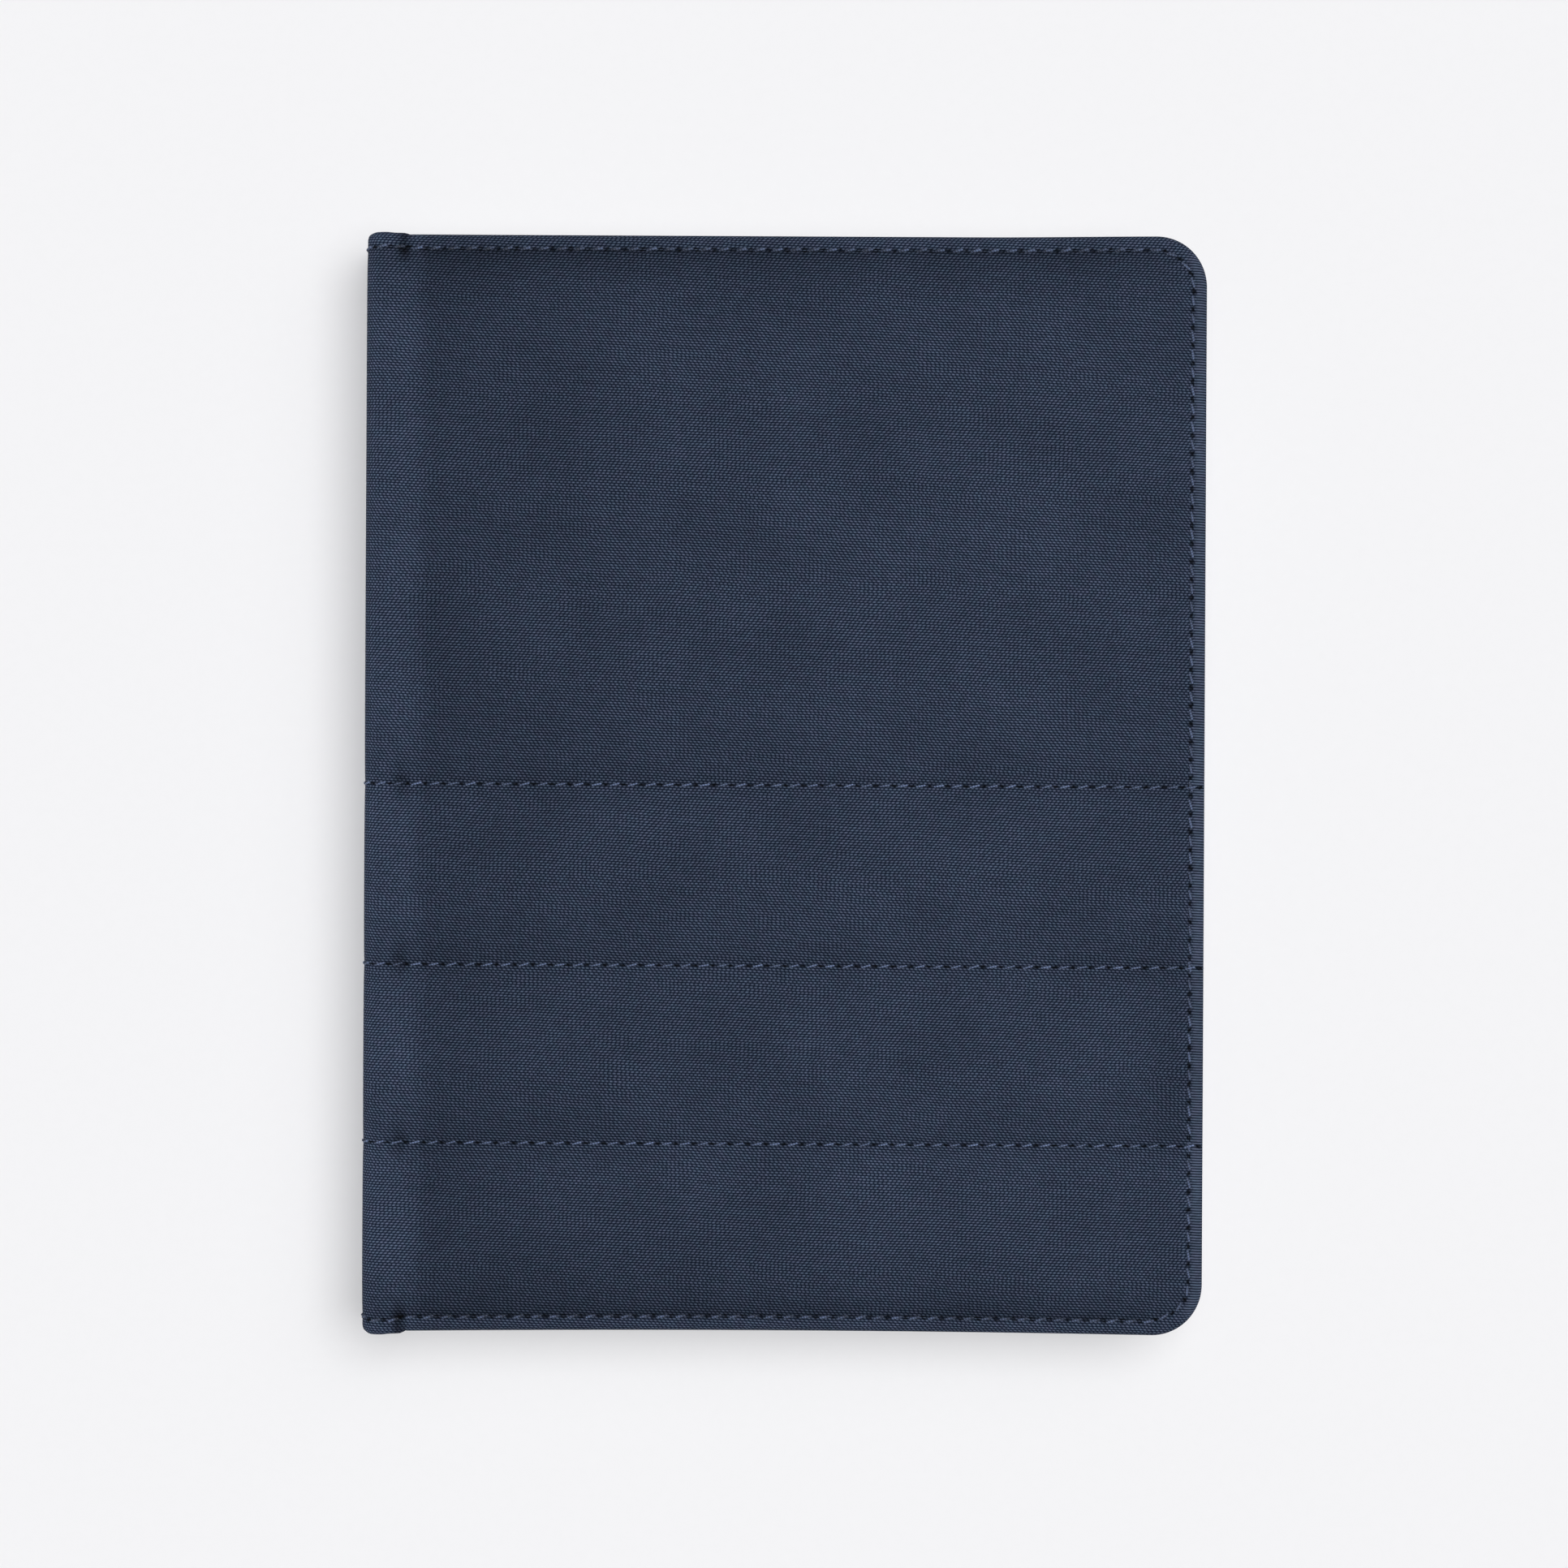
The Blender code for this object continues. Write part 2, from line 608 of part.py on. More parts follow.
def divider(name, bottom, dip, tab_y, looks, parent):
    """A card leaf with an index tab at the fore edge."""
    half = LEAF_HEIGHT / 2
    profile = leaf_profile(bottom, DIVIDER_THICKNESS, dip)
    card = stacked(name, along_y(profile, -half, half), looks["card"], parent)
    fore = max(x for x, _ in profile)
    x = (fore - TAB_ROOT, fore + TAB_DEPTH)
    low = bottom - dip
    y = (tab_y - TAB_LENGTH / 2, tab_y + TAB_LENGTH / 2)
    outline = rounded_outline(x, y, TAB_RADII)
    thick = (low, low + DIVIDER_THICKNESS)
    tab = stacked(f"{name}_tab", [[(px, py, z) for px, py in outline] for z in thick])
    combine(card, tab, "UNION")
    return punch(card, bottom, DIVIDER_THICKNESS)


def leaves(looks, hinges):
    for name, start, thickness, dip in LOG_LEAVES:
        leaf_bundle(name, LEAF_Z + start, thickness, dip, looks, hinges.get(name))
    for name, start, dip, tab_y in DIVIDERS:
        divider(name, LEAF_Z + start, dip, tab_y, looks, hinges.get(name))


# ---- Assembly -----------------------------------------------------------------------------------
def joint_empties():
    """An empty on each joint's axis."""
    spine = empty("spine_fold_axis", (SPINE_X + HINGE_INSET, 0, HINGE_INSET))
    front = empty(
        "front_fold_axis", (SPINE_X + HINGE_INSET, 0, THICKNESS - HINGE_INSET), spine
    )
    hinges = {"spine": spine, "front": front}
    for name, side in (("ring_bar_spine_side", -1), ("ring_bar_leaf_side", 1)):
        hinges[name] = empty(f"{name}_axis", (RING_X + side * BLADE_OUTER, 0, BLADE_Z))
    for name, side in (("trigger_upper", 1), ("trigger_lower", -1)):
        place = (RING_X, side * TRIGGER_Y, FOOT_Z + TRIGGER_HEIGHT)
        hinges[name] = empty(f"{name}_axis", place)
    turning = empty("leaf_turn_axis", (RING_X, 0, RING_Z))
    hinges["log_leaves_turning"] = turning
    hinges["divider_front"] = turning
    return hinges


def main():
    for obj in list(bpy.data.objects):
        bpy.data.objects.remove(obj)
    looks = make_materials()
    hinges = joint_empties()
    back = cover_layers("back", False, looks, None)
    cover_layers("front", True, looks, hinges["front"])
    spine_layers(looks, hinges["spine"])
    pockets(looks, hinges["front"])
    ring_mechanism(looks, hinges, back)
    leaves(looks, hinges)


main()
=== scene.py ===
"""Looks of the pilot logbook: quilted cloth covers, stitching, ring mechanism, leaves, and a pale studio."""

import math

import bmesh
import bpy
import numpy as np
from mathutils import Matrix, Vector


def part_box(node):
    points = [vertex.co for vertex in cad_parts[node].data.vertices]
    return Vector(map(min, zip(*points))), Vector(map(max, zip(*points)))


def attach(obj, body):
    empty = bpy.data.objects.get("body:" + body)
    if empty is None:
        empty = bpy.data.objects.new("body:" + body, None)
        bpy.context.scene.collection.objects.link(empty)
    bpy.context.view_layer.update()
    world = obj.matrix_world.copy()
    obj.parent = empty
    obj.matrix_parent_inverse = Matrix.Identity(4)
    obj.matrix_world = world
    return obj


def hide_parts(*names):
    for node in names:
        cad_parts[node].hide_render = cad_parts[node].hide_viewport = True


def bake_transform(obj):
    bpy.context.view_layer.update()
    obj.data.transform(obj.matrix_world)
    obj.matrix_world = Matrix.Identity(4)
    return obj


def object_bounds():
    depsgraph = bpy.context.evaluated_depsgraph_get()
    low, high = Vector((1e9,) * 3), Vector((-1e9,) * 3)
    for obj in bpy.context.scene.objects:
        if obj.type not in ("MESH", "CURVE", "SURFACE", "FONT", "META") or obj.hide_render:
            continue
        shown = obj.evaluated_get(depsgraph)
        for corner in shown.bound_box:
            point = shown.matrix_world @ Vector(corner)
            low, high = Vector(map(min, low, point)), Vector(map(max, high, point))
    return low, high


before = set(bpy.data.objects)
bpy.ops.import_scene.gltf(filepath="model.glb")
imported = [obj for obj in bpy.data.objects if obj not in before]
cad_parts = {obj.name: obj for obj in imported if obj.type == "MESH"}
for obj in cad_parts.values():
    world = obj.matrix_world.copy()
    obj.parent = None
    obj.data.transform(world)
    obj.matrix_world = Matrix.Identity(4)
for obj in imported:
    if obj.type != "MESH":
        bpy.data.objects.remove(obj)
cad_low, cad_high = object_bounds()

MM = 0.001
TURN = 2 * math.pi

# ---- Sizes, from the frame
TOP = cad_high.z
SPINE_X = cad_low.x
FORE_X = cad_high.x
PANEL_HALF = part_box("front_outer_cloth")[1].y
LINING_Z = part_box("front_lining")[0].z
SHOULDER_R = 5.0 * MM  # of the cloth where it turns from a cover to the spine
CORNER_R = 10.8 * MM  # of the covers' fore corners
SHOULDER_START = TOP / 2 - SHOULDER_R  # along the cloth, from the middle of the spine
PANEL_START = SHOULDER_START + SHOULDER_R * math.pi / 2
PANEL_X = SPINE_X + SHOULDER_R
CLOTH_END = PANEL_START + FORE_X - PANEL_X

# ---- The quilting
EDGE_REACH = 1.6 * MM  # how far the rounded edge stands past the flat of a cover
EDGE_STEPS = 12
BORDER = 3.1 * MM  # from the edge to the line of stitching
BORDER_SINK = 0.75 * MM
BORDER_SLOPES = ((0.55, 5.0 * MM), (0.45, 1.2 * MM))  # shares of that sink, and their reach
BORDER_PULL, BORDER_PULL_REACH = 0.05 * MM, 1.4 * MM  # of each stitch
BEAD_RISE = 0.3 * MM  # between the stitching and the edge
SEAMS = (-0.3 * MM, -38.9 * MM, -77.0 * MM)
SEAM_SINK = 0.6 * MM
SEAM_SLOPES = ((0.5, 1.1 * MM), (0.5, 6.0 * MM))
SEAM_PULL, SEAM_PULL_REACH = 0.06 * MM, 1.8 * MM
VALLEY_X = SPINE_X + 8.1 * MM  # the groove at the hinge
VALLEY_SINK, VALLEY_WIDTH = 0.22 * MM, 2.4 * MM
CREASE_SINK = 0.55 * MM
DRIFT = 0.05 * MM  # slow waves of the cloth
STITCH_PITCH = 3.85 * MM
UV_UNIT = 0.1  # metres of cloth in one unit of the weave's UV map

# ---- How light the cloth is, mostly painted shade and painted light: shares added to or taken from its plain tone
BORDER_PAINTED_SHADE, BORDER_PAINTED_SHADE_REACH = 0.44, 5.8 * MM
BORDER_LINE_PAINTED_SHADE, BORDER_LINE_WIDTH = 0.12, 0.7 * MM
SEAM_PAINTED_SHADE, SEAM_PAINTED_SHADE_REACH = 0.11, 1.8 * MM
ABOVE_SEAM_PAINTED_SHADE, ABOVE_SEAM_REACH = 0.10, 10 * MM
SPINE_LIGHT, SPINE_LIGHT_END = 0.23, 14.5 * MM
BESIDE_HINGE_PAINTED_SHADE, BESIDE_START, BESIDE_REACH = 0.10, 16 * MM, 25 * MM
BAND_FADE = 6 * MM
SHOULDER_PAINTED_HIGHLIGHT = 0.50
FORE_BORDER_DARK = 0.15
FORE_SIDE_LIGHT = 0.07
CREASE_PAINTED_SHADE = 0.75
DARKEST, LIGHTEST = 0.12, 1.5

# ---- The weave, in lengths of a float and heights of a row
FLOAT_WANDER, ROW_WANDER = 1.3, 1.4
ROW_SLIP = 0.16
STAGGER = (0.34, 0.66)  # of every second row
FLOAT_FULL, ROW_FULL = 0.84, 0.96  # how much of its place a float fills
FLOAT_ROUND = 1.9
SLANT_PITCH = 42 * MM  # over which the floats lean to one side and to the other


# ---- Node helpers
class Graph:
    """A material's node tree, with short calls for the nodes used here."""

    def __init__(self, name):
        self.material = bpy.data.materials.new(name)
        self.material.use_nodes = True
        self.tree = self.material.node_tree
        self.shader = self.tree.nodes["Principled BSDF"]

    def feed(self, socket, value):
        if isinstance(value, bpy.types.NodeSocket):
            self.tree.links.new(value, socket)
        else:
            socket.default_value = value

    def node(self, kind, inputs, output=0, **settings):
        """An output of a new node, with its inputs linked or set."""
        made = self.tree.nodes.new(kind)
        for key, value in settings.items():
            setattr(made, key, value)
        for key, value in inputs.items():
            self.feed(made.inputs[key], value)
        return made.outputs[output]

    def math(self, operation, *values):
        return self.node("ShaderNodeMath", dict(enumerate(values)), operation=operation)

    def product(self, first, *others):
        for other in others:
            first = self.math("MULTIPLY", first, other)
        return first

    def noise(self, vector, scale, detail=2.0, roughness=0.5):
        inputs = {"Vector": vector, "Scale": scale, "Detail": detail, "Roughness": roughness}
        return self.node("ShaderNodeTexNoise", inputs, "Fac")

    def wander(self, vector, scale, reach):
        """Noise about zero."""
        return self.product(self.math("SUBTRACT", self.noise(vector, scale), 0.5), reach)

    def random(self, value, dimensions="1D"):
        inputs = {"W" if dimensions == "1D" else "Vector": value}
        return self.node("ShaderNodeTexWhiteNoise", inputs, "Value", noise_dimensions=dimensions)

    def scaled(self, vector, factors):
        return self.node("ShaderNodeVectorMath", {0: vector, 1: factors}, operation="MULTIPLY")

    def split(self, vector):
        return self.node("ShaderNodeSeparateXYZ", {0: vector}).node.outputs

    def remap(self, value, low, high, to_low, to_high):
        inputs = {"Value": value, "From Min": low, "From Max": high, "To Min": to_low, "To Max": to_high}
        return self.node("ShaderNodeMapRange", inputs)

    def varied(self, noise, low, high):
        """Spreads the usual range of a noise over low to high."""
        return self.remap(noise, 0.3, 0.7, low, high)

    def blend(self, factor, first, second):
        first, second = ((*c, 1.0) if isinstance(c, tuple) else c for c in (first, second))
        return self.node("ShaderNodeMix", {"Factor": factor, 6: first, 7: second}, 2, data_type="RGBA")

    def tinted(self, colour, factor):
        """The colour times a grey factor."""
        return self.node("ShaderNodeVectorMath", {0: colour, "Scale": factor}, operation="SCALE")

    def bump(self, height, distance):
        inputs = {"Strength": 1.0, "Distance": distance, "Height": height}
        self.feed(self.shader.inputs["Normal"], self.node("ShaderNodeBump", inputs))

    def coordinates(self, kind):
        return self.node("ShaderNodeTexCoord", {}, kind)

    def weave_coordinates(self):
        return self.node("ShaderNodeUVMap", {}, uv_map="weave")

    def attribute(self, name):
        return self.node("ShaderNodeAttribute", {}, "Fac", attribute_name=name)

    def set(self, **values):
        for key, value in values.items():
            self.feed(self.shader.inputs[key.replace("_", " ")], value)
        return self.material


# ---- Materials
def woven(name, dark, light, float_length, row_height, skew, depth, mottle, slant):
    """Plain-weave cloth, seen as rows of short floats that are staggered like bricks, with dark gaps
    between them. The crowns of the floats take the light colour and the gaps the dark one: partly the
    yarn's own tone, partly painted highlight and painted shade. skew tilts the rows, slant leans the
    floats and mottle varies the tone."""
    g = Graph(name)
    flat = g.scaled(g.weave_coordinates(), (UV_UNIT,) * 3)
    u, v = g.split(flat)[:2]
    sway = g.wander(flat, 60.0, FLOAT_WANDER)
    lean = g.wander(flat, 35.0, ROW_WANDER)
    across = g.math("ADD", g.math("DIVIDE", g.math("MULTIPLY_ADD", u, skew, v), row_height), lean)
    row = g.math("FLOOR", across)
    stagger = g.remap(g.noise(flat, 95.0), 0.35, 0.65, *STAGGER)
    half_step = g.product(g.math("FLOORED_MODULO", row, 2.0), stagger)
    slip = g.random(g.math("ADD", row, 0.5))
    along = g.math("ADD", g.math("ADD", g.math("DIVIDE", u, float_length), half_step), sway)
    along = g.math("MULTIPLY_ADD", slip, ROW_SLIP, along)
    swing = g.math("SINE", g.math("MULTIPLY_ADD", v, TURN / SLANT_PITCH, lean))
    off_row = g.math("SUBTRACT", g.math("FRACT", across), 0.5)
    along = g.math("MULTIPLY_ADD", g.remap(swing, -0.6, 0.6, -slant, slant), off_row, along)
    off_float = g.math("SUBTRACT", g.math("FRACT", along), 0.5)
    length_swell = g.math("COSINE", g.product(off_float, math.pi * FLOAT_FULL))
    row_swell = g.math("COSINE", g.product(off_row, math.pi * ROW_FULL))
    joined = g.product(g.math("SUBTRACT", 1.0, length_swell), g.attribute("ribs"))
    length_swell = g.math("ADD", length_swell, joined)
    height = g.math("POWER", g.product(length_swell, row_swell), FLOAT_ROUND)

    single = g.node("ShaderNodeCombineXYZ", {0: g.math("FLOOR", along), 1: row})
    per_float = g.remap(g.random(single, "3D"), 0.0, 1.0, 0.86, 1.14)
    streak = g.remap(g.random(row), 0.0, 1.0, 0.97, 1.03)
    patches = g.varied(g.noise(flat, 45.0, 3.0), 1.0 - mottle, 1.0 + mottle)
    fibres = g.varied(g.noise(g.scaled(flat, (2500.0, 9000.0, 1.0)), 1.0), 0.88, 1.12)
    tint = g.remap(g.noise(flat, 420.0, 1.0), 0.35, 0.65, 0.0, 1.0)
    warm = tuple(c * k for c, k in zip(light, (1.05, 0.985, 1.005)))
    cool = tuple(c * k for c, k in zip(light, (0.95, 1.015, 0.995)))
    # The shade attribute multiplies in the painted light and shade set on each point of the mesh
    tone = g.product(per_float, streak, patches, fibres, g.attribute("shade"))
    g.bump(height, depth)
    return g.set(Base_Color=g.tinted(g.blend(height, dark, g.blend(tint, warm, cool)), tone),
                 Roughness=g.remap(height, 0.0, 1.0, 0.95, 0.72), Specular_IOR_Level=0.06,
                 Sheen_Weight=0.03, Sheen_Roughness=0.35, Sheen_Tint=(0.62, 0.70, 0.88, 1.0))


def thread(name, colour):
    """Twisted sewing thread. The twist runs round each stitch by its UV map."""
    g = Graph(name)
    along, around = g.split(g.weave_coordinates())[:2]
    turn = g.math("MULTIPLY_ADD", along, 5.0, around)
    ply = g.math("SINE", g.product(turn, TURN))
    # The shade attribute brings each stitch's own varied tone and its painted highlight and painted shade
    tone = g.product(g.remap(ply, -1.0, 1.0, 0.6, 1.25), g.attribute("shade"))
    g.bump(ply, 0.05 * MM)
    return g.set(Base_Color=g.tinted(colour, tone), Roughness=g.remap(ply, -1.0, 1.0, 0.6, 0.42),
                 Specular_IOR_Level=0.25, Sheen_Weight=0.05)


def steel():
    """Nickel-plated steel, with drawing lines along Y and faint clouds."""
    g = Graph("nickel_steel")
    place = g.coordinates("Object")
    drawn = g.noise(g.scaled(place, (2600.0, 60.0, 2600.0)), 1.0, 3.0, 0.6)
    cloud = g.noise(place, 90.0, 4.0, 0.6)
    fine = g.noise(place, 2600.0, 2.0)
    rough = g.math("ADD", g.varied(drawn, 0.16, 0.20), g.remap(cloud, 0.35, 0.7, 0.0, 0.07))
    tone = g.product(g.varied(cloud, 0.93, 1.03), g.varied(fine, 0.97, 1.03))
    g.bump(g.math("ADD", drawn, g.product(fine, 0.4)), 0.002 * MM)
    return g.set(Base_Color=g.tinted((0.70, 0.69, 0.66), tone), Roughness=rough, Metallic=1.0)


# The printed page
ROW_PITCH = 6.5 * MM
COLUMN_PITCH = 11.0 * MM
THIN_LINE, THICK_LINE = 0.16 * MM, 0.22 * MM
NARROW_COLUMNS_X = -2.0 * MM  # columns towards the fore edge from here are half as wide
PAGE_X = (-56.0 * MM, 76.0 * MM)
PAGE_Y = (-94.5 * MM, 96.5 * MM)
HEADING_Y = 83.5 * MM


def paper():
    """Ruled paper. Its rows and columns are printed on both faces, and show nothing at the edges."""
    g = Graph("ruled_paper")
    place = g.coordinates("Object")
    x, y, _ = g.split(place)
    facing = g.split(g.coordinates("Normal"))[2]
    level = g.math("GREATER_THAN", g.math("ABSOLUTE", facing), 0.7)

    def phase(value, pitch):
        return g.math("FRACT", g.math("DIVIDE", value, pitch))

    def lines(value, pitch, width):
        away = g.math("ABSOLUTE", g.math("SUBTRACT", phase(value, pitch), 0.5))
        return g.math("LESS_THAN", away, width / pitch / 2)

    def between(value, low, high):
        return g.product(g.math("GREATER_THAN", value, low), g.math("LESS_THAN", value, high))

    rows = lines(y, ROW_PITCH, THIN_LINE)
    narrow = g.product(lines(x, COLUMN_PITCH, THIN_LINE), g.math("GREATER_THAN", x, NARROW_COLUMNS_X))
    columns = g.math("MAXIMUM", narrow, lines(x, 2 * COLUMN_PITCH, THICK_LINE))
    page = g.product(between(x, *PAGE_X), between(y, *PAGE_Y), level)
    ink = g.product(g.math("MAXIMUM", rows, columns), page)
    heading = g.product(between(y, HEADING_Y, PAGE_Y[1]), page)
    shaded = g.product(g.math("LESS_THAN", phase(y, 2 * ROW_PITCH), 0.5), page)
    fibre = g.noise(g.scaled(place, (900.0, 1500.0, 9000.0)), 1.0, 3.0, 0.6)
    tone = g.product(g.varied(fibre, 0.93, 1.04), g.varied(g.noise(place, 14.0, 3.0), 0.96, 1.03))
    colour = g.tinted((0.80, 0.78, 0.71), tone)
    for printed, strength, tint in ((shaded, 0.45, (0.66, 0.74, 0.70)), (heading, 0.55, (0.42, 0.55, 0.60)),
                                    (ink, 0.75, (0.16, 0.25, 0.33))):
        colour = g.blend(g.product(printed, strength), colour, tint)
    g.bump(g.math("ADD", fibre, g.product(g.noise(place, 5000.0), 0.5)), 0.02 * MM)
    return g.set(Base_Color=colour, Roughness=g.varied(fibre, 0.92, 0.78))


def card():
    """Tinted divider card."""
    g = Graph("divider_card")
    place = g.coordinates("Object")
    fibre = g.noise(g.scaled(place, (700.0, 1100.0, 4000.0)), 1.0, 4.0, 0.65)
    tone = g.product(g.varied(fibre, 0.88, 1.10), g.varied(g.noise(place, 60.0, 3.0), 0.93, 1.06))
    g.bump(fibre, 0.03 * MM)
    return g.set(Base_Color=g.tinted((0.18, 0.27, 0.36), tone), Roughness=g.varied(fibre, 0.75, 0.55))


# ---- The cloth's surface
HEAD_RISE, HEAD_CORNER_RISE, HEAD_SWELL = 0.10 * MM, 0.40 * MM, 0.36 * MM  # past a plain rectangle
TAIL_RISE, TAIL_BOW, TAIL_SWELL = 0.45 * MM, 0.65 * MM, 0.60 * MM
BOW_MIDDLE, BOW_HALF = -5 * MM, 85 * MM
CORNER_RISE_X = (40 * MM, 85 * MM)
SWELL_END, SWELL_FADE = SPINE_X + 9.3 * MM, 1.4 * MM


def profile(s):
    """(x, z, outward normal's x and z) of the front half of the cloth, s metres from mid-spine."""
    turn = np.clip((s - SHOULDER_START) / SHOULDER_R, 0.0, math.pi / 2)
    x = SPINE_X + SHOULDER_R * (1 - np.cos(turn)) + np.maximum(s - PANEL_START, 0.0)
    z = TOP - SHOULDER_R * (1 - np.sin(turn)) - np.maximum(SHOULDER_START - s, 0.0)
    return x, z, -np.cos(turn), np.sin(turn)


def unrolled(s):
    """(x, x as if the cover ran on flat past the spine) of points s metres from mid-spine."""
    x = profile(s)[0]
    return x, x + np.minimum(s - PANEL_START, 0.0)


def ramp(value, start, span):
    """A smooth rise from 0 where value is start to 1 where it's start + span."""
    share = np.clip((value - start) / span, 0.0, 1.0)
    return share * share * (3 - 2 * share)


def bell(value, width):
    return np.exp(-((value / width) ** 2))


def fade(distance, reach):
    return np.exp(-distance / reach)


def slopes(distance, parts):
    return sum(share * fade(distance, reach) for share, reach in parts)


def half_height(x, head):
    """Half the cover's height. The head and tail bow in a little, and swell at the hinge."""
    swell = ramp(x, SWELL_END, -SWELL_FADE) * ramp(x, SPINE_X, 2 * MM)
    if head:
        corner = ramp(x, CORNER_RISE_X[0], CORNER_RISE_X[1] - CORNER_RISE_X[0])
        return PANEL_HALF + HEAD_RISE + HEAD_CORNER_RISE * corner + HEAD_SWELL * swell
    across = np.clip(1 - ((x - BOW_MIDDLE) / BOW_HALF) ** 2, 0.0, 1.0)
    return PANEL_HALF + TAIL_RISE - TAIL_BOW * across + TAIL_SWELL * swell


def nearer_half(x, y):
    """Half the cover's height, at the end that each point is nearer to."""
    return np.where(y > 0, half_height(x, True), half_height(x, False))


def edge_distance(x, y):
    """How far a point of the cover is inside its outline."""
    to_fore, to_end = FORE_X - x, nearer_half(x, y) - np.abs(y)
    in_corner = (to_fore < CORNER_R) & (to_end < CORNER_R)
    radial = CORNER_R - np.hypot(CORNER_R - to_fore, CORNER_R - to_end)
    return np.where(in_corner, radial, np.minimum(to_fore, to_end))


def fore_border(x, y):
    """From 0 to 1, where the cloth is rolled over the fore edge, outside its stitching."""
    at_fore = ramp(nearer_half(x, y) - np.abs(y), 0.6 * (FORE_X - x), 5 * MM)
    return ramp(edge_distance(x, y), BORDER - 0.3 * MM, -0.6 * MM) * at_fore


def creases(x_flat, y):
    """From 0 to 1, how deep the cloth creases where stitching or an end crosses the hinge."""
    across = x_flat - VALLEY_X
    deep = 0.0
    for seam in SEAMS:
        near, wide = bell(y - seam, 2.0 * MM), bell(y - seam - 1.5 * MM, 5.0 * MM)
        deep = deep + bell(across, 1.6 * MM) * (0.40 * near + 0.34 * wide)
    from_end = nearer_half(x_flat, y) - np.abs(y)
    end = bell(across, 1.25 * MM) * ramp(from_end, 8.5 * MM, -6 * MM)
    return deep + end * ramp(from_end, -1 * MM, 2 * MM)


def sink(s, y):
    """How far the padded cloth is pulled in, below the plain outline of the book."""
    x, x_flat = unrolled(s)
    inside = edge_distance(x, y)
    past = inside - BORDER
    by_spine = 0.3 + 0.7 * ramp(x_flat, SPINE_X, 6 * MM)
    bead = BORDER_SINK - BEAD_RISE * np.sin(math.pi * np.clip(inside / BORDER, 0.0, 1.0))
    low = np.where(past < 0, bead, BORDER_SINK * slopes(past, BORDER_SLOPES)) * by_spine
    along = np.where(FORE_X - x_flat < CORNER_R, y, x_flat)
    low = low + BORDER_PULL * np.cos(TURN * along / STITCH_PITCH) * fade(np.abs(past), BORDER_PULL_REACH)
    quilted = np.clip(past / (4 * MM), 0.15, 1.0) * by_spine
    pull = SEAM_PULL * np.cos(TURN * x_flat / STITCH_PITCH)
    for seam in SEAMS:
        away = np.abs(y - seam)
        low = low + (SEAM_SINK * slopes(away, SEAM_SLOPES) + pull * fade(away, SEAM_PULL_REACH)) * quilted
    valley = x_flat - VALLEY_X
    low = low + VALLEY_SINK * bell(valley, VALLEY_WIDTH)
    ripple = 1 + 0.35 * np.sin((y + 0.6 * valley) * 2600)
    low = low + CREASE_SINK * creases(x_flat, y) * ripple
    drift = np.sin(x_flat * 61 + 1.3) * np.sin(y * 47 + 0.4) + np.sin(x_flat * 23 + y * 31 + 2.0)
    return low + DRIFT * (drift + 2) * np.clip(np.minimum(inside, x_flat - SPINE_X) / (12 * MM), 0.0, 1.0)


def shade_of(s, y):
    """How light the cloth is, mostly painted light and shade: painted shade along the border's
    stitching, round the seams, beside the hinge's valley and in its creases, and a painted highlight
    on the spine's shoulder. It is also lighter over the band by the spine and towards the fore edge,
    and darker over the strip rolled round the fore edge."""
    x, x_flat = unrolled(s)
    past = edge_distance(x, y) - BORDER
    by_fore = fade(np.maximum(FORE_X - BORDER - x, 0.0), 4 * MM)
    # Painted shade along the border's stitching, and a thin line of painted shade on the stitching itself
    painted_border_shade = np.where(past > 0, fade(past, BORDER_PAINTED_SHADE_REACH) * (1 - by_fore), 0.0)
    shade = 1.0 - BORDER_PAINTED_SHADE * painted_border_shade - BORDER_LINE_PAINTED_SHADE * bell(past, BORDER_LINE_WIDTH)
    # Painted shade round each quilting seam, reaching further over the side above it
    for seam in SEAMS:
        away = np.abs(y - seam)
        above = ramp(y, seam - 0.5 * MM, MM) * fade(away, ABOVE_SEAM_REACH)
        painted_seam_shade = SEAM_PAINTED_SHADE * fade(away, SEAM_PAINTED_SHADE_REACH) + ABOVE_SEAM_PAINTED_SHADE * above
        shade = shade - painted_seam_shade * (past > 0)
    from_spine = x_flat - SPINE_X
    shade = shade + SPINE_LIGHT * ramp(from_spine, SPINE_LIGHT_END, -BAND_FADE)
    # Painted shade on the cover beside the hinge's valley
    beside = fade(np.maximum(from_spine - BESIDE_START, 0.0), BESIDE_REACH)
    beside = beside * ramp(from_spine, BESIDE_START - BAND_FADE, BAND_FADE)
    shade = shade - BESIDE_HINGE_PAINTED_SHADE * beside
    # A painted highlight along the spine's rounded shoulder
    shade = shade + SHOULDER_PAINTED_HIGHLIGHT * bell(s - SHOULDER_START - 0.6 * SHOULDER_R, 0.45 * SHOULDER_R)
    shade = shade - FORE_BORDER_DARK * fore_border(x, y) + FORE_SIDE_LIGHT * x / FORE_X
    # Painted shade in the hinge's creases
    return np.clip(shade - CREASE_PAINTED_SHADE * creases(x_flat, y), DARKEST, LIGHTEST)


def surface(s, y):
    """Points on the cloth, as an array of x, y, z."""
    x, z, nx, nz = profile(s)
    depth = sink(s, y)
    return stacked(x - nx * depth, y, z - nz * depth)


# ---- The covers' mesh
GRID_FORE = CLOTH_END - EDGE_REACH
GRID_END = PANEL_HALF - EDGE_REACH
FINE_STEP = 0.45 * MM  # between the mesh's points near an edge
WIDE_STEP = 0.96 * MM
EDGE_BAND = 9 * MM
SEAM_BAND = 2.4 * MM
BOW_START = 85 * MM  # where the grid's lines along X start to bend to the bowed ends
LINING_GAP = 0.15 * MM  # from the turned-in cloth to the lining
HINGE_EDGE_THICK = 1.3 * MM  # of the cloth's edge at the hinge, where it holds no board
